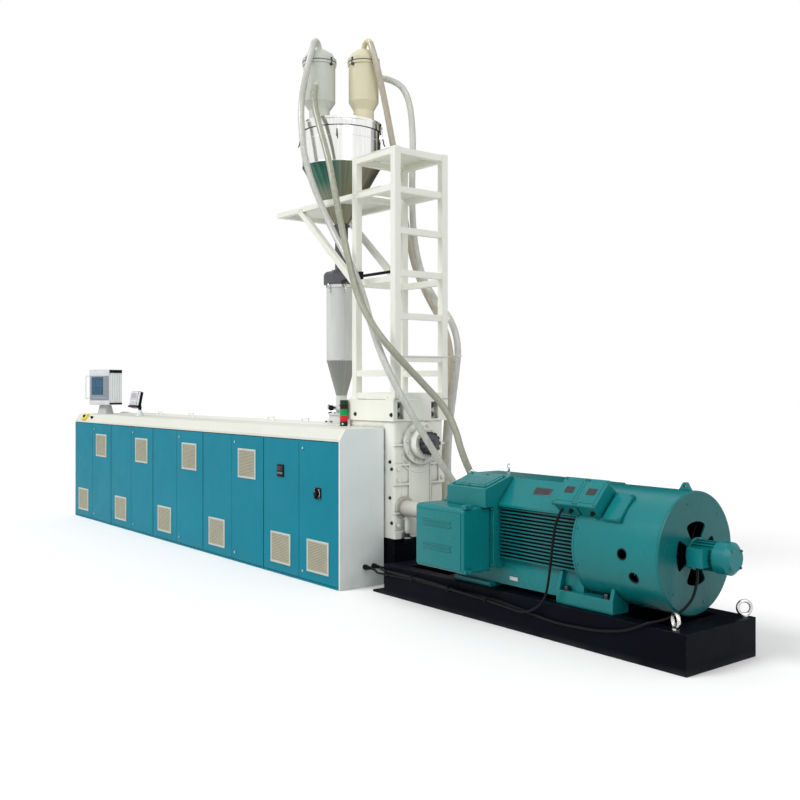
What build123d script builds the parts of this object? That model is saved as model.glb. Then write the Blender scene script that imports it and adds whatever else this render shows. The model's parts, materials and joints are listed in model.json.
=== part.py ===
"""Plastic extruder: drive, gearbox, covered barrel, operator cabinet and material feed tower.

Millimetres, +Z up. X runs along the machine towards the motor end and Y away from the
operator. The origin is on the floor, on the motor axis, at the cabinet's motor-side end.
"""
import os
from math import cos, pi, radians, sin, tan

from build123d import *

# Sheet metal and general clearances
seat_gap = 0.3
wall = 4

# Operator cabinet
cabinet_length = 5725
cabinet_front = -540
cabinet_rear = -110
cabinet_end_wall = 15
cabinet_floor_thickness = 14
cabinet_back_thickness = 15
cabinet_divider_thickness = 12
cabinet_header = 1151
cover_lip = 20
cover_rise = 101
cover_setback = 55
bay_count = 5

# Cabinet doors
leaf_thickness = 20
leaf_side_gap = 7
leaf_middle_gap = 6
leaf_end_gap = 6
leaf_rear_gap = 14
pin_radius = 4
pin_clearance = 0.3
pin_engagement = 25
pin_hole_spare = 2
pin_collar_radius = 8
pin_edge = 16
pin_depth = 8
lock_radius = 10
lock_height = 5
lock_inset = 60
lock_end_inset = 62

# Door vents
vent_width = 310
vent_height = 260
vent_proud = 6
vent_border = 14
vent_slats = 11
vent_slat_proud = 4
vent_slat_share = 0.55
upper_vent_middle = 898
lower_vent_middle = 222

# Door instruments
meter_size = 105
meter_proud = 8
meter_height = 875
switch_plate = 92
switch_plate_proud = 6
switch_knob_radius = 22
switch_knob_length = 26
switch_lever = (16, 74)
switch_height = 730

# Machine bed and barrel
bed_width = 545
bed_height = 930
bed_setback = 5
bed_edge = 3
guard_drop = 2
guard_chamfer = 60
guard_inset = 35
handle_pairs = ((-4560, -3750), (-2020, -1410))
handle_length = 110
handle_rise = 38
handle_radius = 8
handle_y = 50
barrel_y = 155
barrel_z = 1130
barrel_radius = 95
barrel_bore = 60
barrel_stub = 130
outlet_flange_radius = 135
outlet_flange_thickness = 40
outlet_bolt_circle = 112
outlet_bolt_hole = 9
outlet_bolts = 8

# Gearbox
gearbox_x = (-498, 120)
gearbox_y = (-100, 415)
gearbox_foot = 374
gearbox_top_flange = 1307
gearbox_top = 1477
gearbox_edge = 28
gearbox_rib = 16
gearbox_rib_levels = (430, 578, 805, 960, 1119)
gearbox_rib_length = 150
gearbox_pilaster = 62
gearbox_boss_radii = (172, 123)
gearbox_boss_heights = (34, 112)
shaft_radius = 86
shaft_length = 62
top_pockets = ((-75, -12), (276, 350))
top_pocket_margin = 16
top_pocket_depth = 45
plinth_reach = 40
plinth_height = 167

# Motor base
base_x = (300, 3005)
base_half_width = 339
base_height = 231
base_web = 16
base_flange = 100
base_beam = 190
base_beams = 5

# Main motor
cowl_clearance = 25
stator_x = (1040, 2200)
end_shield_start = 880
end_shield_radius = 290
end_shield_edge = 24
crown_inset = 8
crown_half_width = 150
shoulder_half_width = 172
shoulder_rise = 322
stator_half_width = 300
shoulder_lip_rise = (170, 186)
core_half_width = 240
skirt_drop = 180
skirt_half_width = 252
foot_pad = 31
fin_count = 15
fin_share = 0.42
fin_half_width = 284
fin_x = (1500, 2200)
box_seat_x = (972, 1496)
box_seat_drop = 244
foot_pad_y = (150, 297)
front_foot_x = (1060, 1420)
rear_foot_x = (2018, 2465)
foot_plate = 55
gusset = 26
gusset_top_y = 262
gusset_top_drop = 184
gusset_root = 200
cowl_end = 2830
cowl_radius = 360
cowl_wall = 8
cowl_edge = 6
cowl_openings = 4
cowl_opening_radii = (90, 186)
cowl_opening_share = 0.68
cowl_opening_corner = 18
cowl_hub_radius = 84
cowl_holes = ((2581, 0), (2648, -21))
cowl_hole_radius = 29
hatch_x = (2415, 2545)
hatch_tilt = 44
hatch_height = 205
hatch_proud = 12
hatch_corner = 8
hatch_root = 16
hole_root = 32
lug_x = 2760
lug_length = 92
lug_tip_length = 24
lug_hole = 9
lug_rise = 46
lug_thickness = 22
fan_motor_radius = 78
fan_motor_length = 262
fan_motor_fin = (18, 4.5)
fan_motor_fins = 22
fan_motor_flange = 16
fan_motor_cap = (160, 94, 27)
fan_motor_box_x = (38, 138)
fan_motor_box_front = -142
fan_motor_box_half_height = 52
coupling_radius = 62
coupling_flange = 22
coupling_flange_radius = 88

# Motor boxes
terminal_box_x = (972, 1459)
terminal_box_front = -577
terminal_box_back = -335
terminal_box_rise = (-266, 165)
terminal_box_edge = 30
neck_x = (1113, 1496)
neck_front = -410
neck_rise = 287
neck_back = -170
neck_lid = 14
auxiliary_box_x = ((2058, 2234), (2241, 2397))
auxiliary_box_depth = 104
auxiliary_box_slope = 205
auxiliary_box_edge = 16

# Lifting eyes
base_eyes = ((2960, 290, (0.8, -0.6, 0)), (2905, -298, (0.5, 0.87, 0)))
base_eye_radius = 40
base_eye_bar = 11
shield_eye = (925, 0, (0.3, -0.95, 0))
crown_eye = (1245, 55, (0.6, 0.8, 0))
motor_eye_radius = 24
motor_eye_bar = 6.5
eye_collar = 14

# Motor cables
cable_radius = 8
gland_radius = 21
gland_length = 75
gland_height = 160
gland_y = (-300, -215)

# Feed tower
post = 60
tower_x = (-451, 132)
tower_y = (-100, 456)
tower_top = 3497
front_bars = (1508, 1693, 2446, 3177, 3466)
motor_side_rungs = (1508, 1807, 2147, 2492, 2832, 3157, 3466)
hopper_side_rungs = (1508, 2446, 3466)
bar = 50
deck = 6
deck_right = -60
platform_left = -1655
platform_z = (3157, 3203)
platform_plate = 8
brace = 50
brace_foot = 70
brace_reach = 850
brace_drop = 732

# Mixing hopper
hopper_x = -970
hopper_y = barrel_y
hopper_radius = 350
hopper_z = (3028, 3538, 3899)
hopper_outlet = 58
hopper_ring = 26
hopper_lid = 20
lid_rim = 12

# Dosing hopper and feed throat
drop_flange = 16
dosing_radius = 134
dosing_rise = (254, 569)
dosing_top = 2494
dosing_outlet = 48
cap_radius = 160
cap_top = 2611
throat_flange_radius = 150
throat_plate_radius = 124
throat_plate_rise = (82, 97)
gate_rise = (128, 162)
gate_width = 150
gate_reach = 120

# Vacuum loaders
loader_offset = (124, 155)
left_loader_radius = 143
right_loader_radius = 134
loader_neck_radius = 92
loader_levels = (4053, 4126, 4476)
loader_lid_rise = 113
loader_lid_shoulder = 79
loader_crown_radius = 70
loader_band = 22
loader_band_proud = 9
hose_radius = 27.5
spigot_radius = 24
gooseneck_radius = 65
gooseneck_riser = 6
gooseneck_turn = 150
port_length = 200
first_run = 190
hose_foot_radius = 55
hose_foot_height = 30
hose_cuff_radius = 36
hose_cuff_height = 60
hose_end_height = 240
arc_share = 0.45

# Operator panel, side display and signal tower
panel_inset = 355
panel_y = -290
panel_size = (365, 200, 430)
panel_pedestal_height = 110
panel_bezel = 14
panel_turn = 19.5
screen_size = (250, 265)
screen_rise = 30
screen_depth = 6
pedestal_foot = (160, 130)
pedestal_head = (120, 90)
display_inset = 1400
display_y = -300
display_size = (135, 60, 185)
display_tilt = 14
display_turn = 20
display_offset = (-72, -30)
display_tray = (84, 15, 12)
display_corner = 8
stalk_foot = (42, 60)
stalk_radius = 18
signal_x = -500
signal_y = -150
signal_radius = 33
signal_height = 218

os.makedirs("parts", exist_ok=True)


def save(piece, name):
    """Label a finished piece and write it as its own node."""
    piece.part.label = name
    export_step(piece.part, f"parts/{name}.step")


def block(x, y, z, mode=Mode.ADD):
    """Box between a low and a high plane on each axis."""
    with Locations(((x[0] + x[1]) / 2, (y[0] + y[1]) / 2, (z[0] + z[1]) / 2)):
        Box(x[1] - x[0], y[1] - y[0], z[1] - z[0], mode=mode)


def turn(center, outline, mode=Mode.ADD):
    """Turn an outline of (radius, height) points about a vertical axis."""
    with BuildSketch(Plane((*center, 0), x_dir=(1, 0, 0), z_dir=(0, -1, 0))) as profile:
        with BuildLine():
            Polyline(*outline, close=True)
        make_face()
    revolve(profile.sketch, axis=Axis((*center, 0), (0, 0, 1)), mode=mode)


def turn_along(axis_y, axis_z, outline, mode=Mode.ADD):
    """Turn an outline of (x, radius) points about an axis along X."""
    with BuildSketch(Plane((0, axis_y, axis_z), x_dir=(1, 0, 0), z_dir=(0, -1, 0))) as profile:
        with BuildLine():
            Polyline(*outline, close=True)
        make_face()
    revolve(profile.sketch, axis=Axis((0, axis_y, axis_z), (1, 0, 0)), mode=mode)


def prism_along(x, outline, mode=Mode.ADD):
    """Extrude an outline of (y, z) points along X."""
    with BuildSketch(Plane.YZ.offset(x[0])) as profile:
        with BuildLine():
            Polyline(*outline, close=True)
        make_face()
    extrude(profile.sketch, amount=x[1] - x[0], mode=mode)


def corner_radii(route):
    """Radius at each corner, as large as the two runs beside it allow."""
    points = [Vector(*point) for point in route]
    radii = []
    for before, here, after in zip(points, points[1:], points[2:]):
        turning = radians((here - before).get_angle(after - here))
        shorter = min((here - before).length, (after - here).length)
        radii.append(arc_share * shorter / tan(turning / 2))
    return radii


# Machine bed, barrel guard and barrel outlet
cover_top = cabinet_header + cover_rise
guard_top = cover_top - guard_drop
guard_left = guard_inset - cabinet_length
bed_x = (guard_left + bed_setback, gearbox_x[0])
bed_y = (cabinet_rear, cabinet_rear + bed_width)

with BuildPart() as machine_bed:
    block(bed_x, bed_y, (0, bed_height))
    chamfer(machine_bed.edges().filter_by(Axis.X).group_by(Axis.Z)[-1], bed_edge)
save(machine_bed, "machine_bed")

with BuildPart() as barrel_guard:
    guard_x = (guard_left, gearbox_x[0])
    prism_along(guard_x, [
        (bed_y[0], bed_height),
        (bed_y[1], bed_height),
        (bed_y[1], guard_top - guard_chamfer),
        (bed_y[1] - guard_chamfer, guard_top),
        (bed_y[0], guard_top),
    ])
    for pair in handle_pairs:
        for handle_x in pair:
            grip_z = guard_top + handle_rise
            for end_x in (handle_x - handle_length / 2, handle_x + handle_length / 2):
                with Locations((end_x, handle_y, guard_top + handle_rise / 2)):
                    Cylinder(handle_radius, handle_rise)
            with Locations((handle_x, handle_y, grip_z)):
                Cylinder(handle_radius, handle_length + 2 * handle_radius, rotation=(0, 90, 0))
save(barrel_guard, "barrel_guard")

with BuildPart() as barrel:
    flange_x = guard_left - barrel_stub
    turn_along(barrel_y, barrel_z, [
        (guard_left, barrel_bore),
        (guard_left, barrel_radius),
        (flange_x, barrel_radius),
        (flange_x, outlet_flange_radius),
        (flange_x - outlet_flange_thickness, outlet_flange_radius),
        (flange_x - outlet_flange_thickness, barrel_bore),
    ])
    with BuildSketch(Plane.YZ.offset(flange_x)):
        with Locations((barrel_y, barrel_z)):
            with PolarLocations(outlet_bolt_circle, outlet_bolts):
                Circle(outlet_bolt_hole)
    extrude(amount=-outlet_flange_thickness, mode=Mode.SUBTRACT)
save(barrel, "barrel_outlet")

# Operator cabinet carcass
cabinet_x = (-cabinet_length + cabinet_end_wall, -cabinet_end_wall)
bay_pitch = (cabinet_x[1] - cabinet_x[0]) / bay_count
carcass_front = cabinet_front + leaf_thickness + leaf_rear_gap
back_front = cabinet_rear - cabinet_back_thickness

with BuildPart() as cabinet_floor:
    block(cabinet_x, (cabinet_front, cabinet_rear), (0, cabinet_floor_thickness))
save(cabinet_floor, "cabinet_floor")

with BuildPart() as cabinet_back_wall:
    block(cabinet_x, (back_front, cabinet_rear), (cabinet_floor_thickness, cabinet_header))
save(cabinet_back_wall, "cabinet_back_wall")

with BuildPart() as cabinet_dividers:
    for bay in range(1, bay_count):
        line_x = cabinet_x[0] + bay * bay_pitch
        half = cabinet_divider_thickness / 2
        block((line_x - half, line_x + half), (carcass_front, back_front),
              (cabinet_floor_thickness, cabinet_header))
save(cabinet_dividers, "cabinet_dividers")

cover_profile = [
    (cabinet_front, cabinet_header),
    (cabinet_rear, cabinet_header),
    (cabinet_rear, cover_top),
    (cabinet_front + cover_setback, cover_top),
    (cabinet_front, cabinet_header + cover_lip),
]
with BuildPart() as cabinet_top_cover:
    prism_along(cabinet_x, cover_profile)
save(cabinet_top_cover, "cabinet_top_cover")

end_profile = [(cabinet_front, 0), (cabinet_rear, 0)] + cover_profile[2:]
with BuildPart() as cabinet_end_panels:
    prism_along((-cabinet_length, cabinet_x[0]), end_profile)
    prism_along((cabinet_x[1], 0), end_profile)
save(cabinet_end_panels, "cabinet_end_panels")

# Doors: two leaves to each bay, hinged at the bay's outer edges
leaf_width = (bay_pitch - 2 * leaf_side_gap - leaf_middle_gap) / 2
leaf_z = (cabinet_floor_thickness + leaf_end_gap, cabinet_header - leaf_end_gap)
pin_y = cabinet_front + pin_depth


def leaf_span(bay, side):
    """Left and right edge of one door leaf."""
    left = cabinet_x[0] + bay * bay_pitch + leaf_side_gap
    if side == "right":
        left += leaf_width + leaf_middle_gap
    return left, left + leaf_width


def hinge_x(bay, side):
    """Place of a leaf's pivot pins, near its outer edge."""
    left, right = leaf_span(bay, side)
    return left + pin_edge if side == "left" else right - pin_edge


def add_vent(middle_x, middle_z):
    """Raised frame with horizontal slats on the front of a leaf."""
    front = Plane((middle_x, cabinet_front, middle_z), x_dir=(1, 0, 0), z_dir=(0, -1, 0))
    inner_width = vent_width - 2 * vent_border
    inner_height = vent_height - 2 * vent_border
    with BuildSketch(front) as frame:
        Rectangle(vent_width, vent_height)
        Rectangle(inner_width, inner_height, mode=Mode.SUBTRACT)
    extrude(frame.sketch, amount=vent_proud)
    pitch = inner_height / vent_slats
    with BuildSketch(front) as slats:
        with GridLocations(0, pitch, 1, vent_slats):
            Rectangle(inner_width, pitch * vent_slat_share)
    extrude(slats.sketch, amount=vent_slat_proud)


for bay in range(bay_count):
    last_bay = bay == bay_count - 1
    for side in ("left", "right"):
        left, right = leaf_span(bay, side)
        middle = (left + right) / 2
        with BuildPart() as leaf:
            block((left, right), (cabinet_front, cabinet_front + leaf_thickness), leaf_z)
            for end_z, way in ((leaf_z[1], -1), (leaf_z[0], 1)):
                depth = pin_engagement + pin_hole_spare
                with Locations((hinge_x(bay, side), pin_y, end_z + way * depth / 2)):
                    Cylinder(pin_radius + pin_clearance, depth, mode=Mode.SUBTRACT)
            if side == "left" or last_bay:
                add_vent(middle, lower_vent_middle)
            else:
                add_vent(middle, upper_vent_middle)
            if side == "right":
                face = Plane((left + lock_inset, cabinet_front, 0), x_dir=(1, 0, 0), z_dir=(0, -1, 0))
                with BuildSketch(face):
                    with Locations((0, leaf_z[0] + lock_end_inset), (0, leaf_z[1] - lock_end_inset)):
                        Circle(lock_radius)
                extrude(amount=lock_height)
        save(leaf, f"door_{bay + 1}_{side}")

with BuildPart() as door_hinge_pins:
    for bay in range(bay_count):
        for side in ("left", "right"):
            center = (hinge_x(bay, side), pin_y)
            collar = leaf_end_gap - seat_gap
            turn(center, [
                (0, cabinet_floor_thickness),
                (pin_collar_radius, cabinet_floor_thickness),
                (pin_collar_radius, cabinet_floor_thickness + collar),
                (pin_radius, cabinet_floor_thickness + collar),
                (pin_radius, leaf_z[0] + pin_engagement),
                (0, leaf_z[0] + pin_engagement),
            ])
            turn(center, [
                (0, cabinet_header),
                (pin_collar_radius, cabinet_header),
                (pin_collar_radius, cabinet_header - collar),
                (pin_radius, cabinet_header - collar),
                (pin_radius, leaf_z[1] - pin_engagement),
                (0, leaf_z[1] - pin_engagement),
            ])
save(door_hinge_pins, "door_hinge_pins")

# Instruments on the last bay's doors
last = bay_count - 1
meter_x = sum(leaf_span(last, "left")) / 2
with BuildPart() as process_meter:
    block((meter_x - meter_size / 2, meter_x + meter_size / 2),
          (cabinet_front - meter_proud, cabinet_front),
          (meter_height - meter_size / 2, meter_height + meter_size / 2))
    chamfer(process_meter.faces().sort_by(Axis.Y)[0].edges(), meter_proud / 3)
save(process_meter, "process_meter")

switch_x = sum(leaf_span(last, "right")) / 2
with BuildPart() as main_switch:
    front = Plane((switch_x, cabinet_front, switch_height), x_dir=(1, 0, 0), z_dir=(0, -1, 0))
    with BuildSketch(front):
        RectangleRounded(switch_plate, switch_plate, switch_plate / 10)
    extrude(amount=switch_plate_proud)
    with BuildSketch(front):
        Circle(switch_knob_radius)
        Rectangle(*switch_lever)
    extrude(amount=switch_plate_proud + switch_knob_length)
save(main_switch, "main_switch")

# Heights of the motor's pieces, from the base and the cowl that clears it
motor_z = base_height + cowl_clearance + cowl_radius
stator_top = motor_z + cowl_radius - crown_inset
stator_bottom = base_height + foot_pad
shoulder_top = motor_z + shoulder_rise
shoulder_lip = [motor_z + rise for rise in shoulder_lip_rise]
skirt_top = motor_z - skirt_drop
box_seat_bottom = motor_z - box_seat_drop
terminal_box_z = [motor_z + rise for rise in terminal_box_rise]
neck_top = motor_z + neck_rise

# Motor base
with BuildPart() as base_frame:
    inner = base_half_width - base_web
    rail_outline = [
        (inner, base_web),
        (inner, base_height - base_web),
        (base_half_width - base_flange, base_height - base_web),
        (base_half_width - base_flange, base_height),
        (base_half_width, base_height),
        (base_half_width, 0),
        (base_half_width - base_flange, 0),
        (base_half_width - base_flange, base_web),
    ]
    prism_along(base_x, rail_outline)
    prism_along(base_x, [(-y, z) for y, z in rail_outline])
    beam_step = (base_x[1] - base_x[0] - base_beam) / (base_beams - 1)
    for index in range(base_beams):
        beam_left = base_x[0] + index * beam_step
        block((beam_left, beam_left + base_beam), (-inner, inner), (0, base_height))
    toe_x = (gearbox_x[1] + plinth_reach, base_x[0])
    block(toe_x, (-base_half_width, base_half_width), (0, base_web))
save(base_frame, "base_frame")

with BuildPart() as gearbox_plinth:
    block((gearbox_x[0], gearbox_x[1] + plinth_reach), (gearbox_y[0], gearbox_y[1] + plinth_reach),
          (0, plinth_height))
    block(gearbox_x, gearbox_y, (plinth_height, gearbox_foot))
save(gearbox_plinth, "gearbox_plinth")

# Gearbox
tower_front_edge = min(gearbox_y[0], tower_y[0])
tower_rear_edge = max(gearbox_y[1], tower_y[1])
with BuildPart() as gearbox_housing:
    block(gearbox_x, gearbox_y, (gearbox_foot, gearbox_top_flange))
    fillet(gearbox_housing.edges().filter_by(Axis.Z), gearbox_edge)
    block((gearbox_x[0], tower_x[1]), (tower_front_edge - gearbox_rib, tower_rear_edge),
          (gearbox_top_flange, gearbox_top))
    for pocket_y in top_pockets:
        block((tower_x[1] - top_pocket_depth, tower_x[1]), pocket_y,
              (gearbox_top_flange + top_pocket_margin, gearbox_top - top_pocket_margin), mode=Mode.SUBTRACT)
    rib_face = gearbox_x[1] + gearbox_rib
    rib_ends = (
        (gearbox_y[0], gearbox_y[0] + gearbox_rib_length),
        (gearbox_y[1] - gearbox_rib_length, gearbox_y[1]),
    )
    for rib_y in rib_ends:
        for level in gearbox_rib_levels:
            block((gearbox_x[1] - gearbox_edge, rib_face), rib_y,
                  (level - gearbox_rib / 2, level + gearbox_rib / 2))
    for pilaster_y in ((gearbox_y[0], gearbox_y[0] + gearbox_pilaster),
                       (gearbox_y[1] - gearbox_pilaster, gearbox_y[1])):
        block((gearbox_x[1] - gearbox_edge, rib_face), pilaster_y, (gearbox_foot, gearbox_rib_levels[0]))
        block((gearbox_x[1] - gearbox_edge, rib_face), pilaster_y, gearbox_rib_levels[2:4])
    for radius, height in zip(gearbox_boss_radii, gearbox_boss_heights):
        with BuildSketch(Plane.YZ.offset(gearbox_x[1])):
            with Locations((barrel_y, barrel_z)):
                Circle(radius)
        extrude(amount=height)
save(gearbox_housing, "gearbox_housing")

boss_face = gearbox_x[1] + gearbox_boss_heights[1]
with BuildPart() as gearbox_shaft_end:
    turn_along(barrel_y, barrel_z, [
        (boss_face, 0),
        (boss_face, shaft_radius),
        (boss_face + shaft_length - gearbox_rib, shaft_radius),
        (boss_face + shaft_length, shaft_radius - gearbox_rib),
        (boss_face + shaft_length, 0),
    ])
save(gearbox_shaft_end, "gearbox_shaft_end")

with BuildPart() as coupling_guard:
    coupling_x = (gearbox_x[1], end_shield_start)
    turn_along(0, motor_z, [
        (coupling_x[0], 0),
        (coupling_x[0], coupling_flange_radius),
        (coupling_x[0] + coupling_flange, coupling_flange_radius),
        (coupling_x[0] + coupling_flange, coupling_radius),
        (coupling_x[1] - coupling_flange, coupling_radius),
        (coupling_x[1] - coupling_flange, coupling_flange_radius),
        (coupling_x[1], coupling_flange_radius),
        (coupling_x[1], 0),
    ])
    block((coupling_x[0], coupling_x[0] + coupling_flange), rib_ends[0],
          (gearbox_rib_levels[1] - gearbox_rib, gearbox_rib_levels[1] + gearbox_rib), mode=Mode.SUBTRACT)
save(coupling_guard, "coupling_guard")

# Main motor
half_outline = [
    (crown_half_width, stator_top),
    (shoulder_half_width, shoulder_top),
    (stator_half_width, shoulder_lip[1]),
    (stator_half_width, shoulder_lip[0]),
    (core_half_width, shoulder_lip[0]),
    (core_half_width, skirt_top),
    (skirt_half_width, stator_bottom),
]
stator_outline = half_outline + [(-y, z) for y, z in reversed(half_outline)]
fin_pitch = (shoulder_lip[0] - skirt_top) / fin_count
with BuildPart() as motor_stator:
    prism_along(stator_x, stator_outline)
    turn_along(0, motor_z, [
        (end_shield_start, 0),
        (end_shield_start, end_shield_radius - end_shield_edge),
        (end_shield_start + end_shield_edge, end_shield_radius),
        (stator_x[0], end_shield_radius),
        (stator_x[0], 0),
    ])
    block((stator_x[0], box_seat_x[1]), (-stator_half_width, -core_half_width),
          (box_seat_bottom, shoulder_lip[0]))
    for index in range(fin_count):
        fin_z = skirt_top + (index + 0.5) * fin_pitch
        half_fin = fin_pitch * fin_share / 2
        block(fin_x, (-fin_half_width, -core_half_width), (fin_z - half_fin, fin_z + half_fin))
        block(stator_x, (core_half_width, fin_half_width), (fin_z - half_fin, fin_z + half_fin))
save(motor_stator, "motor_stator")


def cut_motor(clearance):
    """Remove the room that the stator and the cowl fill."""
    prism_along(stator_x, stator_outline, mode=Mode.SUBTRACT)
    turn_along(0, motor_z, [
        (stator_x[1], 0),
        (stator_x[1], cowl_radius + clearance),
        (cowl_end, cowl_radius + clearance),
        (cowl_end, 0),
    ], mode=Mode.SUBTRACT)


with BuildPart() as motor_feet:
    plate_z = (stator_bottom, stator_bottom + foot_plate)
    for side in (-1, 1):
        span = sorted((side * foot_pad_y[0], side * foot_pad_y[1]))
        block(front_foot_x, span, (base_height, stator_bottom))
        block(rear_foot_x, span, (base_height, plate_z[1]))
        for gusset_x in (rear_foot_x[0], rear_foot_x[1] - gusset):
            prism_along((gusset_x, gusset_x + gusset), [
                (side * gusset_root, plate_z[0]),
                (side * foot_pad_y[1], plate_z[0]),
                (side * foot_pad_y[1], plate_z[1]),
                (side * gusset_top_y, motor_z - gusset_top_drop),
                (side * gusset_root, motor_z - gusset_top_drop),
            ])
    cut_motor(seat_gap)
save(motor_feet, "motor_feet")

with BuildPart() as fan_cowl:
    turn_along(0, motor_z, [
        (stator_x[1], cowl_radius),
        (cowl_end - cowl_edge, cowl_radius),
        (cowl_end, cowl_radius - cowl_edge),
        (cowl_end, 0),
        (cowl_end - cowl_wall, 0),
        (cowl_end - cowl_wall, cowl_radius - cowl_wall),
        (stator_x[1], cowl_radius - cowl_wall),
    ])
    opening_pitch = 360 / cowl_openings
    opening_sweep = opening_pitch * cowl_opening_share
    hub = (0, motor_z)
    with BuildSketch(Plane.YZ.offset(cowl_end)) as openings:
        for index in range(cowl_openings):
            opening_start = index * opening_pitch - opening_sweep / 2
            with BuildLine():
                inner_arc = CenterArc(hub, cowl_opening_radii[0], opening_start, opening_sweep)
                outer_arc = CenterArc(hub, cowl_opening_radii[1], opening_start, opening_sweep)
                Line(inner_arc @ 0, outer_arc @ 0)
                Line(inner_arc @ 1, outer_arc @ 1)
            make_face()
        fillet(openings.vertices(), cowl_opening_corner)
    extrude(amount=-cowl_wall, mode=Mode.SUBTRACT)
    for hole_x, angle in cowl_holes:
        outward = Vector(0, -cos(radians(angle)), sin(radians(angle)))
        root = Vector(hole_x, 0, motor_z) + outward * (cowl_radius - hole_root)
        with BuildSketch(Plane(root, x_dir=(1, 0, 0), z_dir=outward)):
            Circle(cowl_hole_radius)
        extrude(amount=hole_root + cowl_wall, mode=Mode.SUBTRACT)
    outward = Vector(0, -cos(radians(hatch_tilt)), sin(radians(hatch_tilt)))
    hatch_middle = (hatch_x[0] + hatch_x[1]) / 2
    root = Vector(hatch_middle, 0, motor_z) + outward * (cowl_radius - hatch_root)
    with BuildSketch(Plane(root, x_dir=(1, 0, 0), z_dir=outward)):
        RectangleRounded(hatch_x[1] - hatch_x[0], hatch_height, hatch_corner)
    extrude(amount=hatch_root + hatch_proud)
    with BuildSketch(Plane.XZ.offset(-lug_thickness / 2)):
        with BuildLine():
            lug_root = motor_z + cowl_radius - cowl_wall
            lug_tip = motor_z + cowl_radius + lug_rise
            Polyline(
                (lug_x - lug_length / 2, lug_root),
                (lug_x - lug_tip_length / 2, lug_tip),
                (lug_x + lug_tip_length / 2, lug_tip),
                (lug_x + lug_length / 2, lug_root),
                close=True,
            )
        make_face()
        with Locations((lug_x, lug_tip - lug_rise / 2)):
            Circle(lug_hole, mode=Mode.SUBTRACT)
    extrude(amount=lug_thickness)
save(fan_cowl, "fan_cowl")

with BuildPart() as fan_motor:
    cap_offset, bell_radius, cap_rounding = fan_motor_cap
    cap_start = cowl_end + cap_offset
    fan_motor_end = cowl_end + fan_motor_length
    turn_along(0, motor_z, [
        (cowl_end, 0),
        (cowl_end, cowl_hub_radius),
        (cowl_end + fan_motor_flange, cowl_hub_radius),
        (cowl_end + fan_motor_flange, fan_motor_radius),
        (cap_start, fan_motor_radius),
        (cap_start, bell_radius),
        (fan_motor_end - cap_rounding, bell_radius),
        (fan_motor_end, bell_radius - cap_rounding),
        (fan_motor_end, 0),
    ])
    with BuildSketch(Plane.YZ.offset(cowl_end + fan_motor_flange)):
        with Locations((0, motor_z)):
            with PolarLocations(fan_motor_radius, fan_motor_fins):
                Rectangle(*fan_motor_fin)
    extrude(amount=cap_start - cowl_end - fan_motor_flange)
    box_x = [cowl_end + offset for offset in fan_motor_box_x]
    block(box_x, (fan_motor_box_front, 0),
          (motor_z - fan_motor_box_half_height, motor_z + fan_motor_box_half_height))
save(fan_motor, "fan_motor")

with BuildPart() as terminal_box:
    block(terminal_box_x, (terminal_box_front, terminal_box_back), terminal_box_z)
    fillet(terminal_box.edges().filter_by(Axis.X).group_by(Axis.Y)[0], terminal_box_edge)
    fillet(terminal_box.edges().filter_by(Axis.Z).group_by(Axis.Y)[0], terminal_box_edge / 2)
save(terminal_box, "terminal_box")

with BuildPart() as terminal_neck:
    prism_along(neck_x, [
        (neck_front, terminal_box_z[1]),
        (neck_front, neck_top),
        (neck_back, stator_top + neck_lid),
        (-crown_half_width, stator_top + neck_lid),
        (-crown_half_width, terminal_box_z[1]),
    ])
    block(box_seat_x, (terminal_box_back, -stator_half_width), (box_seat_bottom, shoulder_lip[0]))
    prism_along(stator_x, stator_outline, mode=Mode.SUBTRACT)
    block(box_seat_x, (-stator_half_width, 0), (box_seat_bottom, shoulder_lip[0]), mode=Mode.SUBTRACT)
save(terminal_neck, "terminal_neck")

slope_run = Vector(0, shoulder_half_width - stator_half_width, shoulder_top - shoulder_lip[1]).normalized()
slope_out = Vector(0, -slope_run.Z, -slope_run.Y)
slope_middle = Vector(0, -(stator_half_width + shoulder_half_width) / 2, (shoulder_lip[1] + shoulder_top) / 2)
with BuildPart() as auxiliary_boxes:
    for box_x in auxiliary_box_x:
        root = slope_middle + Vector((box_x[0] + box_x[1]) / 2, 0, 0)
        with BuildSketch(Plane(root, x_dir=(1, 0, 0), z_dir=slope_out)) as lid:
            RectangleRounded(box_x[1] - box_x[0], auxiliary_box_slope, auxiliary_box_edge)
        extrude(lid.sketch, amount=auxiliary_box_depth)
    cut_motor(seat_gap)
save(auxiliary_boxes, "auxiliary_boxes")


def add_eye(center, foot_z, normal, radius, bar_radius):
    """Ring with its collar, standing on a level face."""
    middle = Vector(*center, foot_z + eye_collar + radius)
    with Locations((*center, foot_z + eye_collar / 2)):
        Cylinder(2 * bar_radius, eye_collar)
    with Locations(Plane(middle, z_dir=normal)):
        Torus(radius, bar_radius)


with BuildPart() as lifting_eyes:
    for x, y, normal in base_eyes:
        add_eye((x, y), base_height, normal, base_eye_radius, base_eye_bar)
    shield_top = motor_z + end_shield_radius
    for (x, y, normal), foot_z in ((shield_eye, shield_top), (crown_eye, stator_top)):
        add_eye((x, y), foot_z, normal, motor_eye_radius, motor_eye_bar)
save(lifting_eyes, "lifting_eyes")

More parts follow.
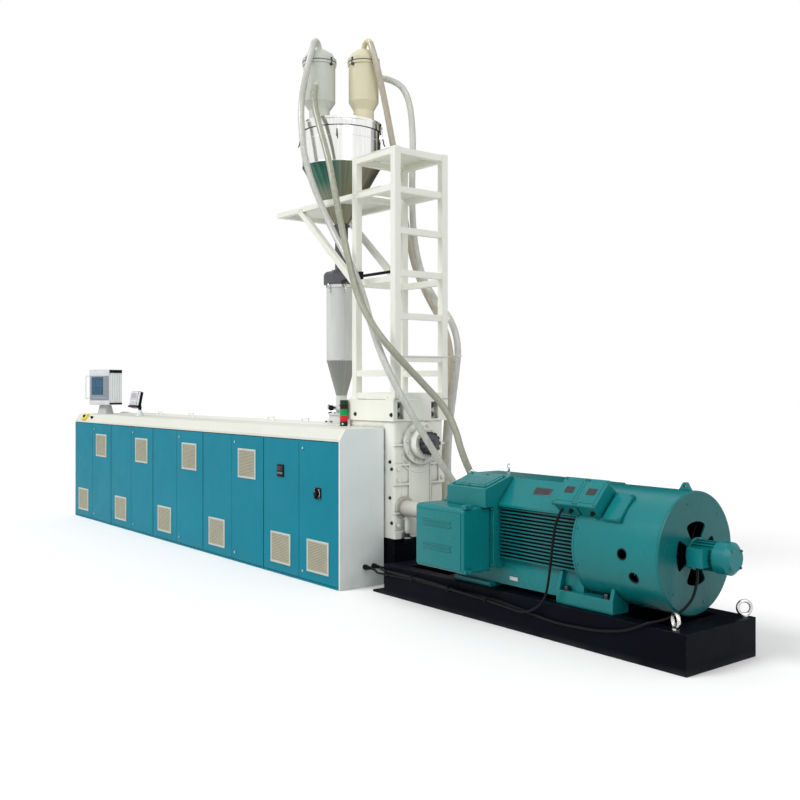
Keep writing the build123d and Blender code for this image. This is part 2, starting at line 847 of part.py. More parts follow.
# Cables from the cabinet along the base to the fan motor and the auxiliary boxes
fan_cable_end = motor_z - fan_motor_box_half_height
cable_routes = (
    (
        (gland_length, gland_y[0], gland_height), (150, -308, 158), (220, -346, 152), (320, -358, 160),
        (700, -360, 178), (1100, -358, 164), (1500, -360, 180), (1800, -358, 150),
        (2060, -360, 122), (2410, -362, 140), (2590, -362, 176), (2690, -362, 216),
        (2755, -350, 252), (2815, -280, 268), (2870, -200, 310), (2910, -145, 385),
        (2920, -118, 480), (2920, -118, fan_cable_end),
    ),
    (
        (gland_length, gland_y[1], gland_height), (150, -225, 168), (235, -330, 186), (340, -376, 192),
        (700, -381, 196), (1100, -379, 180), (1500, -381, 164), (1798, -380, 142),
        (1908, -381, 176), (2001, -381, 255), (2035, -382, 385), (2064, -381, 605),
        (2085, -378, 730), (2105, -363, 799), (2112, -346, 828.5),
    ),
)
with BuildPart() as motor_cables:
    for route, start_y in zip(cable_routes, gland_y):
        with BuildLine(mode=Mode.PRIVATE) as cable_path:
            FilletPolyline(*route, radius=corner_radii(route))
        with BuildSketch(Plane(cable_path.line @ 0, z_dir=cable_path.line % 0)) as section:
            Circle(cable_radius)
        sweep(section.sketch, path=cable_path.line)
        turn_along(start_y, gland_height, [
            (0, 0),
            (0, gland_radius),
            (gland_length / 3, gland_radius),
            (gland_length / 2, gland_radius - cable_radius / 2),
            (gland_length, gland_radius - cable_radius),
            (gland_length, 0),
        ])
save(motor_cables, "motor_cables")


# Feed tower
def tower_side(y):
    """Two posts with their cross bars, fused into one flat side."""
    for x in (tower_x[0], tower_x[1] - post):
        block((x, x + post), (y, y + post), (gearbox_top, tower_top))
    for level in front_bars:
        block((tower_x[0] + post, tower_x[1] - post), (y + (post - bar) / 2, y + (post + bar) / 2),
              (level - bar / 2, level + bar / 2))


with BuildPart() as tower_front_side:
    tower_side(tower_y[0])
save(tower_front_side, "tower_front_side")

with BuildPart() as tower_rear_side:
    tower_side(tower_y[1] - post)
save(tower_rear_side, "tower_rear_side")

with BuildPart() as tower_cross_rails:
    rail_y = (tower_y[0] + post, tower_y[1] - post)
    for x, levels in ((tower_x[1] - post, motor_side_rungs), (tower_x[0], hopper_side_rungs)):
        for level in levels:
            block((x + (post - bar) / 2, x + (post + bar) / 2), rail_y, (level - bar / 2, level + bar / 2))
save(tower_cross_rails, "tower_cross_rails")

with BuildPart() as tower_decks:
    deck_left = tower_x[0] + post
    for level, right in ((front_bars[-2], deck_right), (front_bars[-1], tower_x[1] - post)):
        deck_z = level + bar / 2
        block((deck_left, right), tower_y, (deck_z, deck_z + deck))
save(tower_decks, "tower_decks")


def cone_radius(z):
    """Outer radius of the mixing hopper's cone at a height."""
    share = (z - hopper_z[0]) / (hopper_z[1] - hopper_z[0])
    return hopper_outlet + (hopper_radius - hopper_outlet) * share


hopper_center = (hopper_x, hopper_y)
with BuildPart() as platform:
    platform_x = (platform_left, tower_x[0])
    block(platform_x, tower_y, platform_z)
    block((platform_x[0] + bar, platform_x[1] - bar), (tower_y[0] + bar, tower_y[1] - bar),
          (platform_z[0], platform_z[1] - platform_plate), mode=Mode.SUBTRACT)
    with Locations((*hopper_center, platform_z[1] - platform_plate / 2)):
        Cylinder(cone_radius(platform_z[1]) + seat_gap, platform_plate, mode=Mode.SUBTRACT)
    ring_top = platform_z[1] + hopper_ring
    turn(hopper_center, [
        (cone_radius(platform_z[1]) + seat_gap, platform_z[1]),
        (cone_radius(ring_top) + seat_gap, ring_top),
        (cone_radius(ring_top) + hopper_ring, ring_top),
        (cone_radius(ring_top) + hopper_ring, platform_z[1]),
    ])
save(platform, "platform")

with BuildPart() as platform_braces:
    brace_top = platform_z[0]
    for y in (tower_y[0], tower_y[1] - brace):
        with BuildSketch(Plane.XZ.offset(-y - brace)):
            with BuildLine():
                Polyline(
                    (tower_x[0], brace_top - brace_drop),
                    (tower_x[0], brace_top - brace_drop + brace_foot),
                    (tower_x[0] - brace_reach + brace_foot, brace_top),
                    (tower_x[0] - brace_reach, brace_top),
                    close=True,
                )
            make_face()
        extrude(amount=brace)
save(platform_braces, "platform_braces")

# Mixing hopper and its lid
with BuildPart() as mixing_hopper:
    turn(hopper_center, [
        (hopper_outlet, hopper_z[0]),
        (hopper_radius, hopper_z[1]),
        (hopper_radius, hopper_z[2]),
        (hopper_radius - wall, hopper_z[2]),
        (hopper_radius - wall, hopper_z[1]),
        (hopper_outlet - wall, hopper_z[0]),
    ])
save(mixing_hopper, "mixing_hopper")

lid_top = hopper_z[2] + hopper_lid
with BuildPart() as mixing_hopper_lid:
    turn(hopper_center, [
        (0, hopper_z[2]),
        (hopper_radius + lid_rim, hopper_z[2]),
        (hopper_radius + lid_rim, lid_top),
        (0, lid_top),
    ])
save(mixing_hopper_lid, "mixing_hopper_lid")

with BuildPart() as drop_pipe:
    turn(hopper_center, [
        (hopper_outlet - wall, hopper_z[0]),
        (hopper_outlet + drop_flange, hopper_z[0]),
        (hopper_outlet + drop_flange, hopper_z[0] - drop_flange),
        (hopper_outlet, hopper_z[0] - drop_flange),
        (hopper_outlet, cap_top + drop_flange),
        (hopper_outlet + drop_flange, cap_top + drop_flange),
        (hopper_outlet + drop_flange, cap_top),
        (hopper_outlet - wall, cap_top),
    ])
save(drop_pipe, "drop_pipe")

# Dosing hopper, cap and feed throat
dosing_z = (guard_top + dosing_rise[0], guard_top + dosing_rise[1], dosing_top)
throat_plate_z = [guard_top + rise for rise in throat_plate_rise]
gate_z = [guard_top + rise for rise in gate_rise]
with BuildPart() as dosing_hopper:
    turn(hopper_center, [
        (dosing_outlet, dosing_z[0]),
        (dosing_radius, dosing_z[1]),
        (dosing_radius, dosing_z[2]),
        (dosing_radius - wall, dosing_z[2]),
        (dosing_radius - wall, dosing_z[1]),
        (dosing_outlet - wall, dosing_z[0]),
    ])
save(dosing_hopper, "dosing_hopper")

with BuildPart() as dosing_hopper_cap:
    turn(hopper_center, [
        (hopper_outlet - wall, dosing_z[2]),
        (cap_radius, dosing_z[2]),
        (cap_radius, cap_top - lid_rim),
        (cap_radius - lid_rim, cap_top),
        (hopper_outlet - wall, cap_top),
    ])
save(dosing_hopper_cap, "dosing_hopper_cap")

with BuildPart() as feed_throat:
    turn(hopper_center, [
        (0, guard_top),
        (throat_flange_radius, guard_top),
        (throat_flange_radius, guard_top + drop_flange),
        (throat_plate_radius, guard_top + drop_flange),
        (throat_plate_radius - drop_flange, throat_plate_z[0]),
        (throat_plate_radius, throat_plate_z[0]),
        (throat_plate_radius, throat_plate_z[1]),
        (dosing_outlet, throat_plate_z[1]),
        (dosing_outlet, dosing_z[0]),
        (0, dosing_z[0]),
    ])
    block((hopper_x - gate_reach, hopper_x + gate_width / 2),
          (hopper_y - gate_width / 2, hopper_y + gate_width / 2), gate_z)
save(feed_throat, "feed_throat")

# Vacuum loaders on the lid, with a gooseneck on each cover and a port in each side
left_loader = (hopper_x - loader_offset[0], hopper_y - loader_offset[1])
right_loader = (hopper_x + loader_offset[0], hopper_y + loader_offset[1])
loader_top = loader_levels[2] + loader_lid_rise


def gooseneck(center, heading):
    """Centre of the bend, end point and end direction of a cover's gooseneck."""
    outward = Vector(*heading).normalized()
    up = Vector(0, 0, 1)
    bend = Vector(*center, loader_top + gooseneck_riser) + outward * gooseneck_radius
    angle = radians(gooseneck_turn)
    end = bend + (up * sin(angle) - outward * cos(angle)) * gooseneck_radius
    return bend, end, outward * sin(angle) + up * cos(angle)


left_heading = (0.54, -0.84, 0)
right_heading = (0.99, -0.12, 0)
left_bend, left_end, left_way = gooseneck(left_loader, left_heading)
right_bend, right_end, right_way = gooseneck(right_loader, right_heading)

# Hose routes, from the loaders down the tower to the suction feet behind the base
hose_routes = (
    (
        left_end, left_end + left_way * first_run, (-1060, -218, 4110), (-970, -268, 3790),
        (-900, -275, 3540), (-820, -250, 3320), (-710, -220, 3100), (-530, -210, 2830),
        (-320, -210, 2600), (-150, -212, 2350), (-20, -210, 2040), (120, -200, 1780),
        (220, -130, 1540), (290, -40, 1340), (350, 110, 1080), (400, 240, 870),
        (440, 400, 650), (465, 510, 430), (465, 510, hose_end_height),
    ),
    (
        (-964, -130, 4216), (-870, -215, 4080), (-740, -245, 3830), (-540, -280, 3500),
        (-410, -300, 3170), (-320, -300, 2890), (-235, -292, 2620), (-150, -280, 2360),
        (-10, -282, 2160), (140, -250, 1970), (230, -100, 1775), (300, 70, 1590),
        (380, 195, 1430), (455, 250, 1260), (510, 270, 1060), (560, 350, 850),
        (590, 440, 640), (600, 510, 430), (600, 510, hose_end_height),
    ),
    (
        right_end, right_end + right_way * first_run, (-655, 420, 4050), (-670, 500, 3770),
        (-668, 580, 3440), (-645, 635, 3040), (-555, 655, 2650), (-330, 650, 2330),
        (-110, 630, 2100), (-10, 622, 1860), (-30, 620, 1570), (-80, 622, 1210),
        (-125, 632, 830), (-122, 642, 620), (-115, 645, 430), (-115, 645, hose_end_height),
    ),
    (
        (-690, 427, 4330), (-590, 500, 4290), (-520, 548, 4170), (-480, 565, 4000),
        (-462, 570, 3710), (-475, 565, 3320), (-450, 560, 2920), (-340, 558, 2560),
        (-130, 550, 2310), (80, 545, 2140), (175, 540, 1920), (132, 540, 1650),
        (75, 542, 1370), (30, 550, 1090), (12, 560, 820), (28, 570, 620),
        (40, 575, 430), (40, 575, hose_end_height),
    ),
)


def add_gooseneck(center, bend, heading):
    """Riser and bent tube on a loader's cover."""
    with Locations((*center, loader_top + gooseneck_riser / 2)):
        Cylinder(spigot_radius, gooseneck_riser)
    with BuildSketch(Plane.XY.offset(loader_top + gooseneck_riser)) as tube:
        with Locations(center):
            Circle(spigot_radius)
    revolve(tube.sketch, axis=Axis(bend, (-heading[1], heading[0], 0)), revolution_arc=gooseneck_turn)


def add_port(route):
    """Straight side port in line with a hose's first run."""
    start = Vector(*route[0])
    way = (Vector(*route[1]) - start).normalized()
    with BuildSketch(Plane(start, z_dir=way * -1)) as tube:
        Circle(spigot_radius)
    extrude(tube.sketch, amount=port_length)


loaders = (
    ("left", left_loader, left_loader_radius, left_bend, left_heading, hose_routes[1]),
    ("right", right_loader, right_loader_radius, right_bend, right_heading, hose_routes[3]),
)
for name, center, radius, bend, heading, side_hose in loaders:
    with BuildPart() as loader_body:
        turn(center, [
            (0, lid_top),
            (loader_neck_radius, lid_top),
            (loader_neck_radius, loader_levels[0]),
            (radius, loader_levels[1]),
            (radius, loader_levels[2] - loader_band),
            (radius + loader_band_proud, loader_levels[2] - loader_band),
            (radius + loader_band_proud, loader_levels[2]),
            (0, loader_levels[2]),
        ])
        add_port(side_hose)
    save(loader_body, f"loader_{name}_body")
    with BuildPart() as loader_lid:
        turn(center, [
            (0, loader_levels[2]),
            (radius + loader_band_proud, loader_levels[2]),
            (radius + loader_band_proud, loader_levels[2] + loader_band),
            (radius - loader_band, loader_levels[2] + loader_lid_shoulder),
            (loader_crown_radius, loader_top),
            (0, loader_top),
        ])
        add_gooseneck(center, bend, heading)
    save(loader_lid, f"loader_{name}_lid")


for number, route in enumerate(hose_routes, 1):
    radii = corner_radii(route)
    with BuildPart() as hose:
        with BuildLine() as path:
            FilletPolyline(*route, radius=radii)
        with BuildSketch(Plane(path.line @ 0, z_dir=path.line % 0)):
            Circle(hose_radius)
        sweep()
    length = sum(edge.length for edge in path.edges())
    expected = pi * hose_radius ** 2 * length
    print(f"hose_{number} length {length:.0f} smallest radius {min(radii):.0f}",
          f"volume over section times length {hose.part.volume / expected:.4f}")
    save(hose, f"hose_{number}")

with BuildPart() as hose_ends:
    for route in hose_routes:
        turn(route[-1][:2], [
            (0, 0),
            (hose_foot_radius, 0),
            (hose_foot_radius, hose_foot_height),
            (spigot_radius, hose_foot_height),
            (spigot_radius, hose_end_height - hose_cuff_height),
            (hose_cuff_radius, hose_end_height - hose_cuff_height),
            (hose_cuff_radius, hose_end_height),
            (0, hose_end_height),
        ])
save(hose_ends, "hose_ends")

# Operator panel on its pedestal
panel_x = panel_inset - cabinet_length
panel_bottom = cover_top + panel_pedestal_height
panel_base = Plane((panel_x, panel_y, panel_bottom), z_dir=(0, 0, 1)).rotated((0, 0, panel_turn))
with BuildPart() as operator_panel:
    with BuildSketch(panel_base):
        RectangleRounded(panel_size[0], panel_size[1], panel_bezel)
    extrude(amount=panel_size[2])
    turned = radians(panel_turn)
    facing = Vector(sin(turned), -cos(turned), 0)
    screen_middle = panel_base.origin + facing * (panel_size[1] / 2)
    screen_middle += Vector(0, 0, panel_size[2] / 2 + screen_rise)
    with BuildSketch(Plane(screen_middle, x_dir=panel_base.x_dir, z_dir=facing)):
        Rectangle(*screen_size)
    extrude(amount=-screen_depth, mode=Mode.SUBTRACT)
save(operator_panel, "operator_panel")

with BuildPart() as panel_pedestal:
    for level, size in ((cover_top, pedestal_foot), (panel_bottom, pedestal_head)):
        with BuildSketch(panel_base.offset(level - panel_bottom)):
            RectangleRounded(*size, panel_bezel)
    loft()
save(panel_pedestal, "panel_pedestal")

# Side display on a stalk
display_x = display_inset - cabinet_length
with BuildPart() as side_display:
    stalk_top = cover_top + display_size[2] / 2
    stalk_end = stalk_top + display_size[1] / 2
    turn((display_x, display_y), [
        (0, cover_top),
        (stalk_foot[0], cover_top),
        (stalk_radius, cover_top + stalk_foot[1]),
        (stalk_radius, stalk_end),
        (0, stalk_end),
    ])
    display_foot = (display_x + display_offset[0], display_y + display_offset[1], stalk_top)
    turned = radians(display_turn)
    lean = radians(display_tilt)
    backward = Vector(-sin(turned), cos(turned), 0)
    tilted = Plane(display_foot, x_dir=(cos(turned), sin(turned), 0),
                   z_dir=backward * sin(lean) + Vector(0, 0, cos(lean)))
    with BuildSketch(tilted):
        RectangleRounded(display_size[0], display_tray[0], display_tray[2])
    extrude(amount=display_tray[1])
    with BuildSketch(tilted):
        RectangleRounded(display_size[0], display_size[1], display_corner)
    extrude(amount=display_size[2])
save(side_display, "side_display")

with BuildPart() as signal_tower:
    turn((signal_x, signal_y), [
        (0, cover_top),
        (signal_radius, cover_top),
        (signal_radius, cover_top + signal_height - signal_radius / 3),
        (signal_radius * 2 / 3, cover_top + signal_height),
        (0, cover_top + signal_height),
    ])
save(signal_tower, "signal_tower")
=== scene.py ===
"""Looks of the plastic extruder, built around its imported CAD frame. +Z up.

Pieces and axes are written in millimetres, and solid() brings them to the frame's metres. Materials, hoses
and the stage are written in metres.
"""
import json
import math
from contextlib import contextmanager
from itertools import product

import bmesh
import bpy
from mathutils import Matrix, Vector


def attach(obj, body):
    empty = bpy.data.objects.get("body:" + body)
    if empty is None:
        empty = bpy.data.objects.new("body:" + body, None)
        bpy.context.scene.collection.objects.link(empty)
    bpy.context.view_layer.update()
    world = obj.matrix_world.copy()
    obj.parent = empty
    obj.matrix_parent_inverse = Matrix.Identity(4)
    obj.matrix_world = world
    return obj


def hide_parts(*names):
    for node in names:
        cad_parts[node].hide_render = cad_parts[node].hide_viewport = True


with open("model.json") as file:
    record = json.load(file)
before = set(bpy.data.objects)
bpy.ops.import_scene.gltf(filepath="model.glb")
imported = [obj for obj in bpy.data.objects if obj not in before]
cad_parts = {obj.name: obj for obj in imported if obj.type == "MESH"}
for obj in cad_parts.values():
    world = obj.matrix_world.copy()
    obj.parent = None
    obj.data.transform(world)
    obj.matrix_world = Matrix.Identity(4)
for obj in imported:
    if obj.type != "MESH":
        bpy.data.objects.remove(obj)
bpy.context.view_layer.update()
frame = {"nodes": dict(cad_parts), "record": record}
nodes = frame["nodes"]
scene = bpy.context.scene
scene.view_settings.view_transform = "Standard"

# Directions, and axes that many pieces share: (x, y) of upright ones, (y, z) of those along the machine
MM = 0.001
UP = (0, 0, 1)
DOWN = (0, 0, -1)
FRONT = (0, -1, 0)
ALONG = (1, 0, 0)
BACKWARD = (-1, 0, 0)
HOPPER = (-970, 155)
LEFT_LOADER = (-1094, 0)
RIGHT_LOADER = (-846, 310)
SCREW = (155, 1130)
MOTOR = (0, 616)
at = Matrix.Translation


def linked(name, data):
    """New object in the scene."""
    thing = bpy.data.objects.new(name, data)
    scene.collection.objects.link(thing)
    return thing


# Camera at the photograph's place, level, with its horizon a little above the middle
IMAGE = 800
FOCAL_PX = 967
SENSOR = 36
HORIZON_ROW = 387
AZIMUTH = math.radians(51.6)
EYE = (6.154, -4.822, 1.58)
camera_data = bpy.data.cameras.new("view")
camera_data.sensor_width = SENSOR
camera_data.lens = FOCAL_PX / IMAGE * SENSOR
camera_data.shift_y = (HORIZON_ROW - IMAGE / 2) / IMAGE
camera = linked("view", camera_data)
camera.location = EYE
camera.rotation_euler = (math.pi / 2, 0, AZIMUTH)
scene.camera = camera

# Materials, kept by name, with colours as screen values from 0 to 255
LOOKS = {}
WHITE = (1, 1, 1, 1)
BLACK = (0, 0, 0, 1)


def srgb(color):
    """Linear colour from screen values."""
    def channel(value):
        value /= 255
        return value / 12.92 if value <= 0.04045 else ((value + 0.055) / 1.055) ** 2.4
    return (*(channel(value) for value in color), 1)


def shade(color, factor):
    """The same linear colour, lighter or darker."""
    return tuple(min(1, part * factor) for part in color[:3]) + (1,)


class Nodes:
    """A node tree, with short calls for the nodes used here."""

    def __init__(self, tree):
        self.tree = tree

    def feed(self, socket, value):
        """Link another node's output to a socket, or set the socket's own value."""
        if isinstance(value, bpy.types.NodeSocket):
            self.tree.links.new(value, socket)
        else:
            socket.default_value = value

    def node(self, kind, *values, operation=None, **named):
        """New node, with its sockets fed in order and by name."""
        node = self.tree.nodes.new("ShaderNode" + kind)
        if operation:
            node.operation = operation
        for socket, value in zip(node.inputs, values):
            self.feed(socket, value)
        for name, value in named.items():
            self.feed(node.inputs[name], value)
        return node

    def vector(self, operation, *values):
        return self.node("VectorMath", *values, operation=operation).outputs

    def multiply(self, first, second):
        return self.node("Math", first, second, operation="MULTIPLY").outputs["Value"]

    def either(self, first, second):
        """Sum of two values that are zero or one, held to one."""
        node = self.node("Math", first, second, operation="ADD")
        node.use_clamp = True
        return node.outputs["Value"]

    def remap(self, value, low, high, to_low=0, to_high=1):
        return self.node("MapRange", value, low, high, to_low, to_high).outputs["Result"]

    def mix(self, factor, first, second):
        node = self.tree.nodes.new("ShaderNodeMix")
        node.data_type = "RGBA"
        for place, value in ((0, factor), (6, first), (7, second)):
            self.feed(node.inputs[place], value)
        return node.outputs[2]


class Shader(Nodes):
    """A new material: measures of its surface, and the main shader that they feed."""

    def __init__(self, name):
        material = bpy.data.materials.new(name)
        material.use_nodes = True
        super().__init__(material.node_tree)
        self.principled = self.tree.nodes["Principled BSDF"]
        self.coords = self.node("TexCoord").outputs["Object"]
        LOOKS[name] = material

    def set(self, **values):
        """Feed the main shader's sockets by name."""
        for name, value in values.items():
            self.feed(self.principled.inputs[name.replace("_", " ")], value)

    def bump(self, value, strength, distance):
        node = self.node("Bump", Strength=strength, Distance=distance, Height=value)
        self.set(Normal=node.outputs["Normal"])

    def stretched(self, scale):
        return self.node("Mapping", self.coords, Scale=scale).outputs["Vector"]

    def noise(self, scale, detail, vector=None, roughness=0.55):
        return self.node("TexNoise", vector or self.coords, Scale=scale, Detail=detail,
                         Roughness=roughness).outputs["Fac"]

    def patches(self, scale, detail, low, high, to_low=0, to_high=1, vector=None):
        """Noise between two levels, spread over a range."""
        return self.remap(self.noise(scale, detail, vector), low, high, to_low, to_high)

    def along(self, direction):
        """Object coordinates measured along a direction."""
        return self.vector("DOT_PRODUCT", self.coords, direction)["Value"]

    def around(self, axis):
        """Direction from an upright axis, the same all the way down a cone's side."""
        offset = self.vector("SUBTRACT", self.coords, Vector((*axis, 0)) * MM)["Vector"]
        level = self.vector("MULTIPLY", offset, (1, 1, 0))["Vector"]
        return self.vector("NORMALIZE", level)["Vector"]

    def edges(self, radius):
        """One along the edges of a shape, falling to zero on its faces."""
        rounded = self.node("Bevel", radius)
        rounded.samples = 4
        face = self.node("NewGeometry").outputs["Normal"]
        return self.remap(self.vector("DOT_PRODUCT", rounded.outputs["Normal"], face)["Value"], 0.995, 0.9)

    def painted_crease_shade(self, reach):
        """Painted shade: one deep in the corners between shapes, from ambient occlusion, falling to zero on
        open faces.
        """
        node = self.node("AmbientOcclusion", Distance=reach)
        node.samples = 8
        return self.remap(node.outputs["AO"], 0.45, 0.85, 1, 0)


def paint(name, color, rough=0.42, vary=0.06, peel=0.12, dust=None, dust_height=0, gloss=0.3, wear=0,
          painted_shade=(), crease_shade=0):
    """Sprayed machine paint: cloudy tone, orange peel, worn edges, painted shade in creases and in given
    regions, and dust low down.
    """
    shader = Shader(name)
    color = srgb(color)
    tone = shader.mix(shader.patches(1.7, 5, 0.3, 0.7), shade(color, 1 - vary), shade(color, 1 + vary))
    tone = shader.mix(shader.patches(55, 3, 0.64, 0.8, 0, 0.18), tone, shade(color, 0.72))
    runs = shader.patches(3, 5, 0.56, 0.8, 0, 0.2, shader.stretched((9, 9, 0.8)))
    tone = shader.mix(runs, tone, shade(color, 0.8))
    if wear:
        rubbed = shader.multiply(shader.edges(0.005), shader.patches(28, 5, 0.42, 0.62, 0, wear))
        tone = shader.mix(rubbed, tone, srgb(WORN))
    if dust:
        low = shader.remap(shader.along(UP), 0, dust_height, 1, 0)
        dusty = shader.multiply(low, shader.patches(4, 7, 0.35, 0.72, 0.08, 0.6))
        tone = shader.mix(dusty, tone, srgb(dust))
    # Painted shade: the paint's own colour, darkened deep in creases and corners
    if crease_shade:
        crease_shade_mask = shader.multiply(shader.painted_crease_shade(crease_shade), shader.patches(14, 5, 0.3, 0.7, 0.3, 0.9))
        tone = shader.mix(crease_shade_mask, tone, shade(color, 0.3))
    # Painted shade: near-black where the given directions all reach their dark ends
    black = None
    for direction, unshaded_end, dark in painted_shade:
        deep = shader.remap(shader.along(direction), unshaded_end, dark)
        black = shader.multiply(black, deep) if black else deep
    if black:
        tone = shader.mix(black, tone, srgb(PAINTED_SHADE_BLACK))
    shader.set(Base_Color=tone, Roughness=shader.patches(6, 4, 0.3, 0.7, rough - 0.07, rough + 0.09),
               Specular_IOR_Level=gloss)
    shader.bump(shader.noise(420, 2), peel, 0.0006)


def steel(name, color, rough, grain, streak):
    """Bare metal with a drawn grain and a streaky tone."""
    shader = Shader(name)
    color = srgb(color)
    lines = shader.noise(6, 6, shader.stretched(grain), 0.65)
    bands = shader.remap(lines, 0.3, 0.7)
    shader.set(Base_Color=shader.mix(bands, shade(color, 1 - streak), shade(color, 1 + streak * 0.4)),
               Roughness=shader.remap(lines, 0.25, 0.75, rough * 0.75, rough * 1.5), Metallic=1)
    shader.bump(lines, 0.08, 0.0004)


def dull_below(name, bright, level, dull_painted_tone, painted_side, rough, metal, reach):
    """One finish above a level, and below it a duller, streaked one whose darker colour is partly painted
    light, with one side painted darker still.
    """
    shader = Shader(name)
    bright, dull_painted_tone = srgb(bright), srgb(dull_painted_tone)
    level *= MM
    height = shader.along(UP)
    lines = shader.noise(6, 6, shader.stretched((9, 9, 0.5)), 0.65)
    upper = shader.mix(shader.remap(lines, 0.3, 0.7), shade(bright, 0.9), shade(bright, 1.04))
    ribbons = shader.noise(9, 5, shader.around(HOPPER), 0.7)
    # Below the seam: a duller finish, streaked at random, whose darker colour is painted light
    lower = shader.mix(shader.remap(ribbons, 0.4, 0.66, 0, 0.6), shade(dull_painted_tone, 1.12), shade(dull_painted_tone, 0.6))
    # Painted darker side below the seam: painted reflection on the mixing hopper, painted shade on the
    # dosing hopper
    painted_side_mask = shader.multiply(shader.remap(shader.along((0.57, 0.82, 0)), *reach, 1, 0),
                              shader.remap(height, level - 0.3, level - 0.16))
    painted_side_mask = shader.multiply(painted_side_mask, shader.remap(ribbons, 0.36, 0.56, 0.45, 1))
    lower = shader.mix(painted_side_mask, lower, srgb(painted_side))
    step = shader.remap(height, level - 0.003, level + 0.003)
    shader.set(Base_Color=shader.mix(step, lower, upper), Roughness=shader.remap(step, 0, 1, 0.42, rough),
               Metallic=metal, Specular_IOR_Level=0.3)
    shader.bump(lines, 0.08, 0.0004)


def plastic(name, color, rough, grain=0.15, gloss=0.3):
    """Moulded plastic or rubber with a fine skin."""
    shader = Shader(name)
    color = srgb(color)
    tone = shader.mix(shader.patches(12, 4, 0.3, 0.7), shade(color, 0.94), shade(color, 1.06))
    shader.set(Base_Color=tone, Roughness=shader.patches(30, 3, 0.3, 0.7, rough - 0.06, rough + 0.08),
               Specular_IOR_Level=gloss)
    shader.bump(shader.noise(650, 2), grain, 0.0004)


def hose_skin(name, color, dark):
    """Clear suction hose, clouded by the dust inside it."""
    shader = Shader(name)
    color = srgb(color)
    tone = shader.mix(shader.patches(5, 6, 0.32, 0.68), shade(color, 0.93), shade(color, 1.05))
    streaks = shader.patches(4, 4, 0.45, 0.75, 0, 0.4, shader.stretched((14, 14, 1.2)))
    shader.set(Base_Color=shader.mix(streaks, tone, srgb(dark)),
               Roughness=shader.patches(20, 3, 0.3, 0.7, 0.2, 0.36), Coat_Weight=0.3, Coat_Roughness=0.15)
    shader.bump(shader.noise(60, 3), 0.12, 0.001)


WORN = (120, 124, 122)
# Near-black used for painted shade
PAINTED_SHADE_BLACK = (8, 12, 14)
CREAM = (240, 241, 231)
GREEN = (9, 119, 122)
POLISHED = (244, 244, 242)
HOPPER_SEAM = 3538
DOSING_SEAM = 1819
paint("cream_paint", CREAM, vary=0.03, dust=(214, 212, 196), dust_height=1.2)
paint("gear_cream", CREAM, vary=0.03, crease_shade=0.05)
# Painted shade: the cover's cream is a darker copy of the cream, offsetting the light on its sloping strip
paint("cover_cream_shaded", (220, 222, 211), vary=0.03)
# Painted shade: the coupling guard's cream is a darker copy of the cream, offsetting the light on its top
paint("guard_cream_shaded", (190, 189, 178), 0.5, 0.05, crease_shade=0.05)
paint("white_grey_paint", (230, 238, 237), vary=0.04, dust=(176, 176, 168), dust_height=0.6)
paint("teal_paint", (20, 129, 150), 0.4, 0.05, dust=(54, 124, 138), dust_height=0.16, gloss=0.06)
paint("navy_paint", (6, 9, 18), 0.42, 0.2, 0.2, (60, 62, 62), 0.04, 0.04, 0.25)
paint("grey_paint", (216, 217, 216), 0.34, 0.05)
paint("beige_paint", (217, 211, 182), 0.32, 0.05)
paint("loader_grey", (204, 207, 197), 0.3)
# Painted shade deepens along each direction, from where it is unshaded to where it is black: in the gaps
# between the stator's fins, and on the cowl's end face
fin_gap_shade = ((FRONT, 0.292, 0.264), (FRONT, 0.2, 0.21), (ALONG, 1.5, 1.502), (UP, 0.4385, 0.4395),
             (UP, 0.7865, 0.7855))
end_face_shade = ((ALONG, 2.822, 2.844),)
for name, painted_shade, crease_shade in (
        ("motor_green_paint", (), 0.025), ("stator_green_fin_shade", fin_gap_shade, 0), ("cowl_green_end_shade", end_face_shade, 0.025)):
    paint(name, GREEN, 0.24, 0.07, 0.15, (28, 78, 78), 0.5, 0.26, 0.15, painted_shade, crease_shade)
steel("stainless", POLISHED, 0.1, (9, 9, 0.5), 0.1)
steel("dark_steel", (98, 100, 104), 0.4, (20, 20, 20), 0.3)
steel("bright_steel", (214, 214, 212), 0.16, (30, 30, 30), 0.12)
steel("bolt_steel", (70, 72, 74), 0.38, (40, 40, 40), 0.3)
steel("bare_plate", (188, 190, 190), 0.3, (4, 60, 60), 0.12)
# Below each seam the finish is duller and its colours are painted light: on the mixing hopper the olive is a
# painted reflection of the platform and the dark green side is a painted reflection of the floor; on the
# dosing hopper the darker grey and its darker side are painted shade
dull_below("hopper_skin", POLISHED, HOPPER_SEAM, (136, 134, 116), (44, 98, 86), 0.1, 1, (-0.52, -0.32))
dull_below("dosing_skin", (217, 218, 216), DOSING_SEAM, (152, 153, 150), (132, 133, 131), 0.3, 0,
           (-0.55, -0.3))
hose_skin("hose_grey", (200, 202, 194), (160, 162, 154))
hose_skin("hose_olive", (158, 160, 142), (122, 124, 106))
hose_skin("hose_beige", (190, 182, 164), (158, 148, 126))
plastic("black_plastic", (14, 14, 16), 0.42, gloss=0.12)
for name, color, rough in (
        ("signal_plastic", (20, 22, 22), 0.3), ("panel_grey", (214, 217, 218), 0.45),
        ("pedestal_grey", (186, 190, 192), 0.45), ("field_grey", (138, 145, 152), 0.4),
        ("display_pale", (198, 193, 198), 0.42), ("display_tone", (176, 170, 180), 0.42),
        ("yellow_plastic", (238, 212, 60), 0.4), ("vent_shadow", (110, 106, 90), 0.6),
        ("vent_beige", (172, 169, 147), 0.5), ("vent_rim", (196, 202, 194), 0.45)):
    plastic(name, color, rough)
